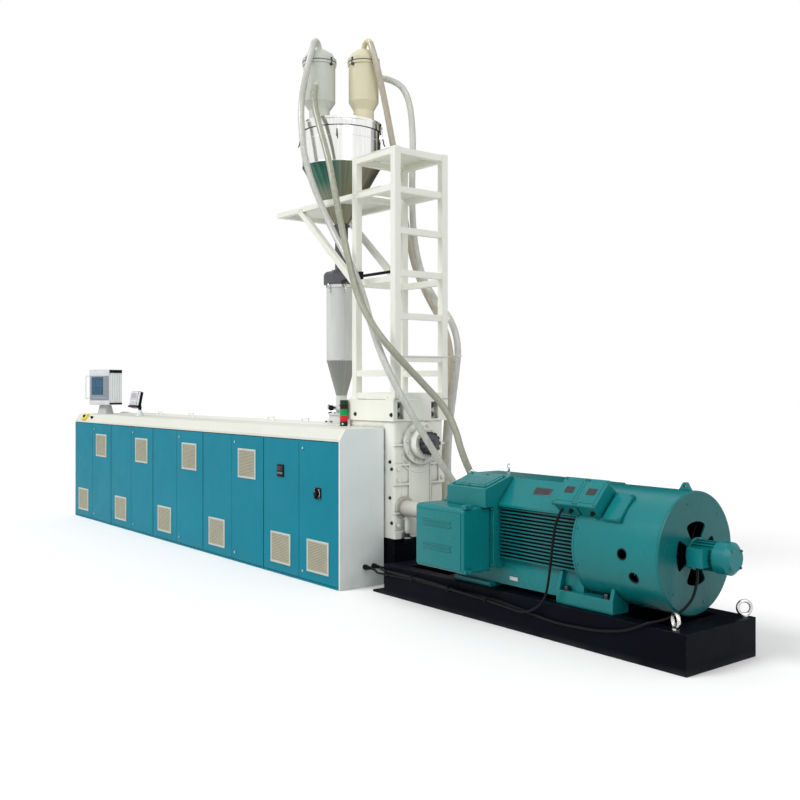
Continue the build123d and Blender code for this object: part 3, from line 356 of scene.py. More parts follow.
for name, color in (
        ("screen_blue", (44, 78, 106)), ("screen_mid", (60, 98, 124)), ("screen_pale", (150, 166, 188)),
        ("lens_green", (0, 158, 84)), ("lens_deep", (12, 64, 44)), ("lens_red", (214, 40, 46)),
        ("lens_dark", (52, 14, 18))):
    plastic(name, color, 0.22, 0.03, 0.2)

# CAD nodes: the material of their slot, or one of their own
own_looks = {
    "lifting_eyes": "bright_steel", "motor_stator": "stator_green_fin_shade", "fan_cowl": "cowl_green_end_shade",
    "loader_left_body": "loader_grey", "loader_left_lid": "loader_grey", "gearbox_housing": "gear_cream",
    "cabinet_top_cover": "cover_cream_shaded", "coupling_guard": "guard_cream_shaded", "mixing_hopper": "hopper_skin",
    "dosing_hopper": "dosing_skin", "barrel_outlet": "bright_steel", "panel_pedestal": "pedestal_grey",
}
for subpart in frame["record"]["subparts"]:
    finishes = nodes[subpart["node"]].data.materials
    finishes.clear()
    finishes.append(LOOKS[own_looks.get(subpart["node"], subpart["material_slot"])])


def round_edges(names, width):
    """Break the sharp edges of CAD nodes."""
    for name in names:
        weld = nodes[name].modifiers.new("weld", "WELD")
        weld.merge_threshold = 0.00002
        bevel = nodes[name].modifiers.new("edges", "BEVEL")
        bevel.width = width
        bevel.segments = 2
        bevel.limit_method = "ANGLE"
        bevel.angle_limit = math.radians(40)
        bevel.harden_normals = True


round_edges(["cabinet_end_panels", "cabinet_top_cover", "machine_bed", "tower_front_side", "tower_rear_side",
             "tower_cross_rails", "platform", "platform_braces", "tower_decks", "gearbox_plinth"], 0.0025)
round_edges(["terminal_neck", "motor_feet", "base_frame"], 0.003)


# Piece helpers
def put(name, data, looks, body="machine"):
    """Link a finished piece, with its materials and its body."""
    piece = linked(name, data)
    looks = looks.split()
    for look in looks:
        data.materials.append(LOOKS[look])
    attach(piece, body)
    return piece


def solid(name, bm, looks, body="machine", sharp=35, place=Matrix()):
    """A piece from a bmesh in millimetres, smooth-shaded up to a sharp angle."""
    mesh = bpy.data.meshes.new(name)
    bm.transform(Matrix.Scale(MM, 4) @ place)
    bmesh.ops.recalc_face_normals(bm, faces=bm.faces)
    bm.to_mesh(mesh)
    bm.free()
    for face in mesh.polygons:
        face.use_smooth = True
    mesh.set_sharp_from_angle(angle=math.radians(sharp))
    return put(name, mesh, looks, body)


def framed(origin, x_dir, z_dir):
    """Matrix of a local frame, from its origin, its x and its z direction."""
    x_dir = Vector(x_dir).normalized()
    z_dir = Vector(z_dir).normalized()
    matrix = Matrix((x_dir, z_dir.cross(x_dir), z_dir)).transposed().to_4x4()
    matrix.translation = Vector(origin)
    return matrix


def on_drum(axis, level, radius, degrees):
    """Frame on an upright drum: x along its rim, y towards its axis."""
    angle = math.radians(degrees)
    out = Vector((math.cos(angle), math.sin(angle), 0))
    return framed(Vector((*axis, level)) + out * radius, (-out.y, out.x, 0), UP)


def across(turns):
    """Direction across the machine, by the share of a full turn."""
    angle = 2 * math.pi * turns
    return Vector((0, math.cos(angle), math.sin(angle)))


@contextmanager
def moved(bm, place):
    """What is added in the block is built in a local frame and carried to its place."""
    first = len(bm.verts)
    yield
    bm.verts.ensure_lookup_table()
    bmesh.ops.transform(bm, matrix=place, verts=bm.verts[first:])


def add_box(bm, low, high, bevel=0, segments=2, index=0):
    """Box between two corners, with rounded edges if asked."""
    old = set(bm.faces)
    middle = [(a + b) / 2 for a, b in zip(low, high)]
    size = [b - a for a, b in zip(low, high)]
    matrix = at(middle) @ Matrix.Diagonal((*size, 1))
    corners = bmesh.ops.create_cube(bm, size=1, matrix=matrix)["verts"]
    if bevel:
        edges = list({edge for corner in corners for edge in corner.link_edges})
        bmesh.ops.bevel(bm, geom=edges, offset=bevel, segments=segments, affect="EDGES", profile=0.6)
    for face in set(bm.faces) - old:
        face.material_index = index


def add_skin(bm, rings, index=0):
    """Faces between neighbouring rings of points, where a ring of one point is a tip."""
    for first, second in zip(rings, rings[1:]):
        count = max(len(first), len(second))
        for step in range(count):
            after = (step + 1) % count
            corners = [first[step % len(first)], first[after % len(first)],
                       second[after % len(second)], second[step % len(second)]]
            unique = list(dict.fromkeys(corners))
            if len(unique) > 2:
                bm.faces.new(unique).material_index = index


def aimed(axis):
    """Rotation that carries +Z onto a direction."""
    return Vector(UP).rotation_difference(Vector(axis)).to_matrix()


def add_lathe(bm, base, axis, profile, segments=24, index=0, turn=0):
    """Turn (radius, height) points about an axis through a base point."""
    matrix = aimed(axis)
    base = Vector(base)
    rings = []
    for radius, height in profile:
        ring = []
        for step in range(segments if radius > 1e-6 else 1):
            angle = 2 * math.pi * step / segments + turn
            local = Vector((radius * math.cos(angle), radius * math.sin(angle), height))
            ring.append(bm.verts.new(base + matrix @ local))
        rings.append(ring)
    add_skin(bm, rings, index)


def add_bolt(bm, place, axis, width, head, index=0, washer=True):
    """Hexagon head, by its width across flats, on its washer."""
    radius = width / 2 / math.cos(math.pi / 6)
    rise = 0
    if washer:
        rise = head * 0.22
        add_lathe(bm, place, axis, [(0, 0), (radius * 1.35, 0), (radius * 1.35, rise), (0, rise)], 20, index)
    top = rise + head
    add_lathe(bm, place, axis, [(0, rise), (radius, rise), (radius, top - head * 0.15),
                                (radius * 0.86, top), (0, top)], 6, index, 0.3)


def add_bolts(bm, xs, ys, zs, axis, width, head, index=0, washer=True):
    """Bolts at every crossing of the given places."""
    for place in product(xs, ys, zs):
        add_bolt(bm, place, axis, width, head, index, washer)


def bolt_ring(bm, centre, axis, radius, count, width, head, index=0, turn=0, washer=True):
    """Bolts evenly round a circle."""
    matrix = aimed(axis)
    for step in range(count):
        angle = turn + 2 * math.pi * step / count
        around = matrix @ Vector((math.cos(angle), math.sin(angle), 0)) * radius
        add_bolt(bm, Vector(centre) + around, axis, width, head, index, washer)


def smooth_line(points, samples=8):
    """Points along a smooth line through the given ones."""
    points = [Vector(point) for point in points]
    line = []
    for number in range(len(points) - 1):
        before = points[max(number - 1, 0)]
        first, second = points[number], points[number + 1]
        after = points[min(number + 2, len(points) - 1)]
        for step in range(samples):
            t = step / samples
            line.append(0.5 * ((2 * first) + (second - before) * t
                               + (2 * before - 5 * first + 4 * second - after) * t * t
                               + (3 * first - before - 3 * second + after) * t ** 3))
    line.append(points[-1])
    return line


def add_tube(bm, line, radius, segments=12, index=0):
    """Round bar with flat ends along a line of points."""
    line = [Vector(point) for point in line]
    last = len(line) - 1
    normal = None
    rings = []
    for number, point in enumerate(line):
        way = (line[min(number + 1, last)] - line[max(number - 1, 0)]).normalized()
        if normal is None:
            normal = way.orthogonal().normalized()
        normal = (normal - way * normal.dot(way)).normalized()
        side = way.cross(normal)
        rings.append([bm.verts.new(point + (normal * math.cos(a) + side * math.sin(a)) * radius)
                      for a in (2 * math.pi * step / segments for step in range(segments))])
    add_skin(bm, rings, index)
    for ring in (rings[0], rings[-1]):
        bm.faces.new(ring).material_index = index


# Hoses, on the same routes as their solids
LOADER_TOP = 4.589
GOOSENECK_RISER = 0.006
GOOSENECK_RADIUS = 0.065
GOOSENECK_TURN = math.radians(150)
FIRST_RUN = 0.19
HOSE_END = 0.24
HOSE_DIAMETER = 0.055


def gooseneck_exit(loader, heading):
    """Two points in line with the end of a loader's gooseneck."""
    outward = Vector(heading).normalized()
    x, y = (value * MM for value in loader)
    bend = Vector((x, y, LOADER_TOP + GOOSENECK_RISER)) + outward * GOOSENECK_RADIUS
    rise, reach = math.sin(GOOSENECK_TURN), -math.cos(GOOSENECK_TURN)
    end = bend + (Vector(UP) * rise + outward * reach) * GOOSENECK_RADIUS
    way = outward * rise - Vector(UP) * reach
    return [tuple(end), tuple(end + way * FIRST_RUN)]


# Each hose's slot, length and route
hoses = {
    "hose_1": ("hose_grey", 4.952, gooseneck_exit(LEFT_LOADER, (0.54, -0.84, 0)) + [
        (-1.06, -0.218, 4.11), (-0.97, -0.268, 3.79), (-0.9, -0.275, 3.54), (-0.82, -0.25, 3.32),
        (-0.71, -0.22, 3.1), (-0.53, -0.21, 2.83), (-0.32, -0.21, 2.6), (-0.15, -0.212, 2.35),
        (-0.02, -0.21, 2.04), (0.12, -0.2, 1.78), (0.22, -0.13, 1.54), (0.29, -0.04, 1.34),
        (0.35, 0.11, 1.08), (0.4, 0.24, 0.87), (0.44, 0.4, 0.65), (0.465, 0.51, 0.43),
        (0.465, 0.51, HOSE_END)]),
    "hose_2": ("hose_olive", 4.551, [
        (-0.964, -0.13, 4.216), (-0.87, -0.215, 4.08), (-0.74, -0.245, 3.83), (-0.54, -0.28, 3.5),
        (-0.41, -0.3, 3.17), (-0.32, -0.3, 2.89), (-0.235, -0.292, 2.62), (-0.15, -0.28, 2.36),
        (-0.01, -0.282, 2.16), (0.14, -0.25, 1.97), (0.23, -0.1, 1.775), (0.3, 0.07, 1.59),
        (0.38, 0.195, 1.43), (0.455, 0.25, 1.26), (0.51, 0.27, 1.06), (0.56, 0.35, 0.85),
        (0.59, 0.44, 0.64), (0.6, 0.51, 0.43), (0.6, 0.51, HOSE_END)]),
    "hose_3": ("hose_beige", 4.639, gooseneck_exit(RIGHT_LOADER, (0.99, -0.12, 0)) + [
        (-0.655, 0.42, 4.05), (-0.67, 0.5, 3.77), (-0.668, 0.58, 3.44), (-0.645, 0.635, 3.04),
        (-0.555, 0.655, 2.65), (-0.33, 0.65, 2.33), (-0.11, 0.63, 2.1), (-0.01, 0.622, 1.86),
        (-0.03, 0.62, 1.57), (-0.08, 0.622, 1.21), (-0.125, 0.632, 0.83), (-0.122, 0.642, 0.62),
        (-0.115, 0.645, 0.43), (-0.115, 0.645, HOSE_END)]),
    "hose_4": ("hose_grey", 4.419, [
        (-0.69, 0.427, 4.33), (-0.59, 0.5, 4.29), (-0.52, 0.548, 4.17), (-0.48, 0.565, 4),
        (-0.462, 0.57, 3.71), (-0.475, 0.565, 3.32), (-0.45, 0.56, 2.92), (-0.34, 0.558, 2.56),
        (-0.13, 0.55, 2.31), (0.08, 0.545, 2.14), (0.175, 0.54, 1.92), (0.132, 0.54, 1.65),
        (0.075, 0.542, 1.37), (0.03, 0.55, 1.09), (0.012, 0.56, 0.82), (0.028, 0.57, 0.62),
        (0.04, 0.575, 0.43), (0.04, 0.575, HOSE_END)]),
}


def hose_foot(name, x, y):
    """Suction foot: a bolted flange, its spigot and a cuff with two clamps."""
    bm = bmesh.new()
    add_lathe(bm, (0, 0, 0), UP, [
        (0, 0), (53, 0), (55, 3), (55, 26), (51, 30), (29, 31), (25, 36),
        (24.5, 176), (34, 178), (35.5, 184), (35.5, 234), (33, 239.5), (0, 239.5)], 32)
    for level in (195, 222):
        add_lathe(bm, (0, 0, level), UP, [
            (35.2, -5), (37.2, -5), (37.2, 5), (35.2, 5), (35.2, -5)], 32, 1)
        add_box(bm, (34, -6, level - 7), (46, 6, level + 7), 2, 2, 1)
    bolt_ring(bm, (0, 0, 29.5), UP, 43, 8, 8, 5, 1, washer=False)
    return solid(name, bm, "dark_steel stainless", place=at((x / MM, y / MM, 0)))


for hose_name, (hose_slot, hose_length, route) in hoses.items():
    curve = bpy.data.curves.new(hose_name + "_line", "CURVE")
    curve.dimensions = "3D"
    curve.resolution_u = 8
    curve.bevel_depth = HOSE_DIAMETER / 2
    curve.bevel_resolution = 6
    curve.use_fill_caps = True
    spline = curve.splines.new("NURBS")
    spline.points.add(len(route) - 1)
    for control, place in zip(spline.points, route):
        control.co = (*place, 1)
    spline.order_u = 3
    spline.use_endpoint_u = True
    spline.use_smooth = True
    hose = put(hose_name + "_line", curve, hose_slot)
    foot = hose_foot(hose_name + "_foot", *route[-1][:2])
    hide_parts(hose_name)
    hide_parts("hose_ends")

# Doors: louvred vent grilles and quarter-turn locks
BAY_LEFT = -5710
BAY_PITCH = 1139
LEAF_GAP = 7
LEAF_WIDTH = 559.5
MIDDLE_GAP = 6
DOOR_FRONT = -540
LOW_VENT = 222
HIGH_VENT = 898
VENT_HALF_WIDTH = 156.2
VENT_HALF_HEIGHT = 131.2
VENT_BORDER = 16.5
VENT_FACE = -8.5
VENT_SEAT = -0.2
VENT_LAP = 0.3
VENT_INSET = 4
SLAT_COUNT = 18
SLAT = ((-4.4, 4.2), (-7.2, -1.6), (-7.2, -4), (-4.4, -3))
LOCK_INSET = 60
LOCK_LEVELS = (82, 1083)


def vent_grille(name, x, z, body):
    """Louvred grille that clips over a door's vent."""
    bm = bmesh.new()
    wide, tall = VENT_HALF_WIDTH, VENT_HALF_HEIGHT
    add_box(bm, (VENT_INSET - wide, SLAT[0][0], VENT_INSET - tall),
            (wide - VENT_INSET, VENT_SEAT, tall - VENT_INSET), index=1)
    post = tall - VENT_BORDER / 2
    for side in (-1, 1):
        low, high = sorted((side * tall, side * (tall - VENT_BORDER)))
        add_box(bm, (-wide, VENT_FACE, low), (wide, VENT_SEAT, high), 1.5, index=2)
        low, high = sorted((side * (wide - VENT_LAP), side * (wide - VENT_LAP - VENT_BORDER)))
        add_box(bm, (low, VENT_FACE + VENT_LAP, -post), (high, VENT_SEAT - VENT_LAP, post), 1.5, index=2)
    span = 2 * (tall - VENT_BORDER)
    reach = wide - VENT_BORDER * 0.8
    for step in range(SLAT_COUNT):
        level = span * ((step + 0.5) / SLAT_COUNT - 0.5)
        ends = [[bm.verts.new((edge, depth, level + rise)) for depth, rise in SLAT]
                for edge in (-reach, reach)]
        add_skin(bm, ends)
        for end in ends:
            bm.faces.new(end)
    solid(name, bm, "vent_beige vent_shadow vent_rim", body, place=at((x, DOOR_FRONT, z)))


def door_locks(name, x, body):
    """Quarter-turn locks near the top and bottom of a leaf."""
    bm = bmesh.new()
    for z in LOCK_LEVELS:
        add_lathe(bm, (0, -4.9, z), FRONT, [
            (0, 0), (9.8, 0), (9.8, 1.4), (9.2, 2.2), (6.2, 2.4), (5.6, 1.2),
            (0, 1.2)], 28)
        add_box(bm, (-1.2, -6.4, z - 4.2), (1.2, -5.8, z + 4.2), index=1)
    solid(name, bm, "bright_steel black_plastic", body, place=at((x, DOOR_FRONT, 0)))


for bay in range(5):
    for side in ("left", "right"):
        left = BAY_LEFT + bay * BAY_PITCH + LEAF_GAP
        body = f"door_{bay + 1}_{side}"
        if side == "right":
            left += LEAF_WIDTH + MIDDLE_GAP
        low = side == "left" or bay == 4
        vent_grille(f"vent_{bay + 1}_{side}", left + LEAF_WIDTH / 2, LOW_VENT if low else HIGH_VENT, body)
        if side == "right":
            door_locks(f"locks_{bay + 1}_{side}", left + LOCK_INSET, body)

# Process meter and main switch on the last pair of doors
METER = (-867.5, -548, 875)
SWITCH = (-302, -546, 730)
bm = bmesh.new()
for low, high, depth, index in (
        ((-50, -50), (50, 50), 1.6, 0), ((-41, 4), (41, 38), 2.6, 1),
        ((-35, 10), (35, 22), 3.4, 2)):
    add_box(bm, (low[0], -depth, low[1]), (high[0], 1, high[1]), 0.8, 2, index)
for step in range(4):
    add_lathe(bm, (-31.5 + step * 21, -1.4, -20), FRONT, [
        (7.5, 0), (7.5, 1.6), (6.6, 2.4), (0, 2.4)], 20, 3)
solid("meter_face", bm, "black_plastic signal_plastic lens_dark field_grey", "door_5_left",
      place=at(METER))
bm = bmesh.new()
add_lathe(bm, (0, 0.5, 0), FRONT, [
    (36.5, 0), (36.5, 2), (35, 3), (27.5, 3), (26.5, 1.5), (23.5, 1.5)], 40, 1)
add_box(bm, (-9.2, -27.5, -38), (9.2, -4, 38), 3, 3)
add_box(bm, (-1.6, -28.2, 12), (1.6, -27.2, 34), 0.4, 1, 1)
add_bolts(bm, (-38, 38), (0,), (-38, 38), FRONT, 6, 3, 1, False)
solid("switch_grip", bm, "black_plastic bare_plate", "door_5_right", place=at(SWITCH))

# Operator panel: bezel, screen, keys, end strips, side ribs, rear bars and handle
PANEL = (-5370, -290, 1362)
PANEL_TURN = math.radians(19.5)
PANEL_FRONT = -100
PANEL_SIDE = 182.5
HANDLE_SIDE = -PANEL_SIDE - 18
bm = bmesh.new()
plates = [((-172, 350), (176, 402), 4, -1, 1.8, 0),
          ((-172, 8), (176, 60), 3, -1, 1.8, 0),
          ((-155, 56), (170, 354), 4.8, -1, 2, 6),
          ((-126, 124), (76, 338), 6.2, 4, 0.8, 1)]
tiles = [((-118, 314), (68, 330))]
tiles += [((-118 + column * 64, 214), (-60 + column * 64, 306)) for column in range(3)]
tiles += [((-118, 134 + row * 26), (68, 152 + row * 26)) for row in range(3)]
plates += [((96, 134 + row * 34), (152, 158 + row * 34), 6.4, 4, 0.8, 6)
           for row in range(6)]
plates += [((-136 + column * 36, 76), (-110 + column * 36, 98), 6.4, 4, 0.8, 3)
           for column in range(8)]
for low, high, proud, back, bevel, index in plates:
    add_box(bm, (low[0], PANEL_FRONT - proud, low[1]), (high[0], PANEL_FRONT - back, high[1]), bevel,
            index=index)
for low, high in tiles:
    add_box(bm, (low[0], PANEL_FRONT - 6.8, low[1]), (high[0], PANEL_FRONT - 5.8, high[1]), 0.3, 1, 2)
for low, high in ((388, 424), (6, 26)):
    add_box(bm, (PANEL_SIDE - 20, -96, low), (PANEL_SIDE + 2.8, 96, high), 2.5, 2, 5)
for step in range(5):
    rib = -72 + step * 36
    for edge in (-PANEL_SIDE, PANEL_SIDE):
        add_box(bm, (edge - 1.8, rib - 10, 45), (edge + 1.8, rib + 10, 372), 1.6, 2, 4)
for step in range(7):
    level = 110 + step * 34
    add_box(bm, (-130, 98.5, level), (130, 103.2, level + 14), 1.6, 2, 5)
handle = [(4 - PANEL_SIDE, -90, 76), (HANDLE_SIDE, -122, 80), (HANDLE_SIDE, -132, 100),
          (HANDLE_SIDE, -132, 330), (HANDLE_SIDE, -122, 350), (4 - PANEL_SIDE, -90, 354)]
add_tube(bm, smooth_line(handle), 6.5, 12, 4)
solid("panel_front", bm,
      "panel_grey screen_blue screen_mid screen_pale white_grey_paint black_plastic field_grey",
      place=framed(PANEL, (math.cos(PANEL_TURN), math.sin(PANEL_TURN), 0), UP))

# Side display: pale face, keys, side stripe and dark red tray, with a collar at the foot of its stalk
DISPLAY = (-4397, -330, 1344.5)
DISPLAY_TURN = math.radians(20)
DISPLAY_LEAN = math.radians(14)
DISPLAY_FOOT = (-4325, -300, 1251.5)
bm = bmesh.new()
add_box(bm, (-65, -34, 22), (48, -29.5, 182), 2.2)
add_box(bm, (-56, -35.2, 86), (39, -33.5, 170), 0.8, 2, 1)
add_box(bm, (-50, -35.8, 110), (33, -34.6, 160), 0.4, 1, 2)
for column in range(4):
    for row in range(2):
        x, z = -46 + column * 24, 36 + row * 24
        add_box(bm, (x - 8, -36.8, z - 7), (x + 8, -33.5, z + 7), 1.4, 2, 1)
add_box(bm, (56, -33, 20), (69, -16, 180), 2, 2, 3)
add_box(bm, (-69.5, -44, -2), (69.5, 44, 17), 6, 3, 4)
rearward = Vector((-math.sin(DISPLAY_TURN), math.cos(DISPLAY_TURN), 0))
solid("display_front", bm, "panel_grey display_pale display_tone white_grey_paint lens_dark",
      place=framed(DISPLAY, (math.cos(DISPLAY_TURN), math.sin(DISPLAY_TURN), 0),
                   rearward * math.sin(DISPLAY_LEAN) + Vector(UP) * math.cos(DISPLAY_LEAN)))
bm = bmesh.new()
add_lathe(bm, (0, 0, 0), UP, [
    (50, 0), (50, 6), (44, 10), (36, 30), (21.5, 62), (19.5, 66), (17.5, 66)], 36)
bolt_ring(bm, (0, 0, 5.5), UP, 45.5, 4, 6, 3, 1, 0.4)
solid("display_foot", bm, "panel_grey bolt_steel", place=at(DISPLAY_FOOT))

# Signal tower: ribbed base and four ribbed lenses, with a stud on the base
SIGNAL = (-500, -150, 1252)
LENS_RADIUS = 31.8
LENS_RIBS = 6
bm = bmesh.new()
level = 0
for index, height in enumerate((40, 50, 53, 39, 36)):
    pitch = (height - 6) / LENS_RIBS
    ribs = [(LENS_RADIUS, 0)]
    for step in range(LENS_RIBS):
        foot = 3 + pitch * step
        ribs += [(32.6, foot + pitch * 0.15), (33, foot + pitch * 0.5), (32.6, foot + pitch * 0.85)]
    ribs += [(LENS_RADIUS, height)]
    if index == 4:
        ribs += [(26, height + 0.5), (0, height + 0.5)]
    add_lathe(bm, (0, 0, level), UP, ribs, 36, index)
    level += height
add_lathe(bm, (21, -26.5, 20), (0.62, -0.78, 0), [
    (0, 0), (7.5, 0), (7.5, 2.2), (5.2, 2.2), (4.8, 1), (0, 1)], 20, 5)
lamp_stack = solid("signal_lamps", bm,
                   "signal_plastic lens_red lens_green lens_dark lens_deep white_grey_paint",
                   place=at(SIGNAL))
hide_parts("signal_tower")

# Stop button and selector on the cover's sloping front
STOP = (-5420, -512.5, 1211.5)
COVER_SLOPE = (0, -0.827, 0.562)
bm = bmesh.new()
add_box(bm, (-56, -42, -1), (56, 42, 26), 4, 3)
add_lathe(bm, (0, 0, 25.5), UP, [
    (21, 0), (21, 3), (12, 4), (12, 8), (16.5, 9), (17.5, 13), (15, 17),
    (8, 19), (0, 19.5)], 32, 1)
bolt_ring(bm, (0, 0, 25.5), UP, 45, 4, 5, 2, 2, 0.7)
add_lathe(bm, (205, 0, -1), UP, [
    (19, 0), (19, 4), (15, 6), (14.5, 18), (12, 20), (0, 20)], 28, 3)
add_box(bm, (202, -13, 18), (208, 13, 26.5), 2, 2, 3)
solid("stop_button", bm, "yellow_plastic lens_dark bolt_steel black_plastic",
      place=framed(STOP, ALONG, COVER_SLOPE))

# Gearbox: bolts and shaft nut, then ribs, pads and cover bolts, then the jack screw
NUT_TEETH = 12
JACK = (150, 10)
bm = bmesh.new()
for x, z in ((-380, 1356), (105, 1358)):
    add_bolt(bm, (x, -116, z), FRONT, 22, 10)
for x, z in ((70, 983), (92, 927), (70, 697), (92, 498), (-440, 983), (-440, 697)):
    add_bolt(bm, (x, -100, z), FRONT, 19, 10)
add_bolts(bm, (87,), (-43.5, 313), (1358, 1428), ALONG, 30, 18)
add_lathe(bm, (293.5, *SCREW), ALONG, [
    (30, 0), (30, 2), (22, 2), (16, -6), (0, -6)], 28)
for step in range(NUT_TEETH):
    out = across(step / NUT_TEETH)
    with moved(bm, framed(Vector((262, *SCREW)) + out * 85.5, ALONG, out)):
        add_box(bm, (-24, -12, -2), (24, 12, 5.5), 2)
solid("gearbox_bolts", bm, "bolt_steel")
bm = bmesh.new()
add_bolts(bm, (136,), (-69, 384), (480, 840, 925), ALONG, 24, 12)
bolt_ring(bm, (154, *SCREW), ALONG, 148, 10, 18, 9, turn=0.2)
bolt_ring(bm, (232, *SCREW), ALONG, 106, 8, 14, 7, turn=0.35)
for y in (42, 262):
    add_box(bm, (110, y, 376), (134.5, y + 13, 990), 4, 3)
add_box(bm, (110, 52, 400), (127, 266, 985), 6, 3)
for radius, half_angle in ((196, 62), (236, 48)):
    arc = [across((-90 + half_angle * (step / 12 - 1)) / 360) for step in range(25)]
    add_tube(bm, [Vector((121, *SCREW)) + out * radius for out in arc], 10)
for y_low, y_high in ((-36, 40), (277, 350)):
    for z_low, z_high in ((446, 562), (594, 789), (976, 1103)):
        add_box(bm, (112, y_low + 12, z_low + 14), (123.5, y_high - 12, z_high - 14), 3, 3)
solid("gearbox_ribs", bm, "gear_cream")
bm = bmesh.new()
add_lathe(bm, (*JACK, 373.5), UP, [
    (0, 0), (26, 0), (26, 14), (14, 16), (14, 55), (21, 56), (22.5, 62),
    (22.5, 175), (19, 182), (0, 182)], 28)
add_box(bm, (119, -22, 520), (150, 42, 545), 4)
add_bolt(bm, (*JACK, 387.5), UP, 42, 22, 1)
add_box(bm, (119.5, JACK[1] - 36, 340), (182, JACK[1] + 36, 374), 3, 2, 2)
solid("gearbox_jack", bm, "gear_cream bolt_steel navy_paint")

# Tower foot plates and platform bolts
FOOT_TOP = 1487
bm = bmesh.new()
for x_low, x_high in ((-476, -366), (22, 132)):
    for y_low, y_high in ((-112, -15), (371, 452)):
        add_box(bm, (x_low, y_low, 1476.5), (x_high, y_high, FOOT_TOP), 2)
        add_bolts(bm, (x_low + 12, x_high - 12), (y_low + 11, y_high - 12), (FOOT_TOP,), UP, 14, 9)
for y, way in ((-100, -1), (456, 1)):
    for x, z in ((-421, 3170), (-421, 3192), (-421, 2470), (-421, 2520), (-1230, 3180), (-1270, 3180)):
        add_bolt(bm, (x, y, z), (0, way, 0), 14, 8)
solid("tower_feet", bm, "cream_paint")

# Hook that carries a hose beside the tower, in saddles on two posts
HOOK = (159, 540, 1835)
HOOK_REACH = 32
POST_FACE = 131.5
bm = bmesh.new()
rod = [(136, -96, 1826), (136, 120, 1827), (136, 300, 1829), (136.5, 470, 1832)]
for step in range(15):
    angle = math.radians(-130 + 20 * step)
    rod.append((HOOK[0] + HOOK_REACH * math.cos(angle), HOOK[1] + HOOK_REACH * math.sin(angle), HOOK[2]))
add_tube(bm, smooth_line(rod, 4), 4)
for y, z in ((-70, 1826), (426, 1831)):
    add_box(bm, (POST_FACE, y - 9, z - 7), (142, y + 9, z + 7), 2, 2, 1)
    add_box(bm, (POST_FACE, y - 9, z - 20), (134, y + 9, z + 20), 1, 2, 1)
    add_bolts(bm, (134,), (y,), (z - 14, z + 14), ALONG, 7, 3, 1, False)
solid("hose_hook", bm, "bright_steel cream_paint")

# Mixing hopper: gasket, lid skirt, seams, toggle clamps, flange bolts and lid handle
bm = bmesh.new()
add_lathe(bm, (*HOPPER, 3840), UP, [(349.5, 0), (356, 0), (356, 6), (349.5, 6)], 96, 1)
add_lathe(bm, (*HOPPER, 3846), UP, [
    (349.5, 0), (357.5, 0), (358.5, 4), (358.5, 50), (363.5, 54), (364.5, 64), (362.5, 73.5),
    (350, 74.5)], 96)
for level, radius in ((HOPPER_SEAM, 350.5), (3760, 350.2)):
    add_lathe(bm, (*HOPPER, level), UP, [
        (radius - 1, -4), (radius + 1.8, -2), (radius + 1.8, 2), (radius - 1, 4)], 96)
for turn in (-41, 49, 139, 229):
    with moved(bm, on_drum(HOPPER, 3800, 350, turn)):
        add_box(bm, (-16, -6, -36), (16, 1, 30), 1.5)
        add_box(bm, (-14, -20, -10), (14, -4, 12), 3)
        add_box(bm, (-10, -20, 98), (10, -6, 116), 2)
        for edge in (-11, 11):
            add_tube(bm, [(edge, -15, 0), (edge, -19, 50), (edge, -17, 108)], 2.2, 8)
        lever = [(0, -16, 4), (0, -26, -20), (0, -30, -46), (0, -40, -68)]
        add_tube(bm, smooth_line(lever), 5.5, 10, 1)
bolt_ring(bm, (*HOPPER, 3028), DOWN, 66, 6, 12, 6)
handle = [(-1110, 300, 3918), (-1112, 302, 3950), (-1080, 340, 3957), (-1020, 404, 3957),
          (-990, 436, 3950), (-988, 438, 3918)]
add_tube(bm, smooth_line(handle), 7)
solid("hopper_fittings", bm, "stainless bolt_steel")

# Loaders: clamp bands with latches
for name, centre, radius, look, slot in (
        ("left", LEFT_LOADER, 152, "loader_grey", "white_grey_paint"),
        ("right", RIGHT_LOADER, 143, "beige_paint", "beige_paint")):
    bm = bmesh.new()
    add_lathe(bm, (*centre, 4470), UP, [
        (radius - 14, 4), (radius + 0.5, 4), (radius + 2.2, 6), (radius + 2.2, 9),
        (radius + 0.5, 11), (radius - 14, 11)], 72, 1)
    add_lathe(bm, (*centre, 4483), UP, [
        (radius - 10, 0), (radius + 1.2, 1), (radius + 1.2, 26), (radius - 10, 28)], 72)
    for turn in (-80, 10, 100, 190):
        with moved(bm, on_drum(centre, 4476, radius - 2, turn)):
            add_box(bm, (-11, -10, -40), (11, 12, -22), 2, 2, 1)
            add_box(bm, (-9, -10, 12), (9, 0, 28), 2, 2, 1)
            latch = [(0, -7, -30), (0, -12, -10), (0, -11, 10), (0, -7, 22)]
            add_tube(bm, smooth_line(latch), 4.2, 10, 1)
    solid(f"loader_{name}_band", bm, look + " bolt_steel")

# Dosing hopper: ten-sided cap, its clamps, and the arm to the tower
ARM_LEVEL = 2505
bm = bmesh.new()
add_lathe(bm, (*HOPPER, 2494), UP, [
    (130, 0), (158, 0), (163, 6), (163, 92), (152, 108), (120, 116.5),
    (59, 116.5)], 10, 0, 0.15)
add_lathe(bm, (*HOPPER, 2609.5), UP, [(58, 0), (88, 0), (88, 10), (80, 14), (58.5, 14)], 48)
bolt_ring(bm, (*HOPPER, 2621.5), UP, 80, 6, 10, 6, 1)
hopper_cap = solid("dosing_cap", bm, "dark_steel bolt_steel", sharp=25)
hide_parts("dosing_hopper_cap")
bm = bmesh.new()
add_lathe(bm, (*HOPPER, 2462), UP, [(133.5, 0), (138.5, 2), (138.5, 28), (133.5, 31.5)], 64)
add_lathe(bm, (*HOPPER, DOSING_SEAM), UP, [
    (133.5, -4), (136.2, -1), (136.2, 2), (133.5, 5)], 64)
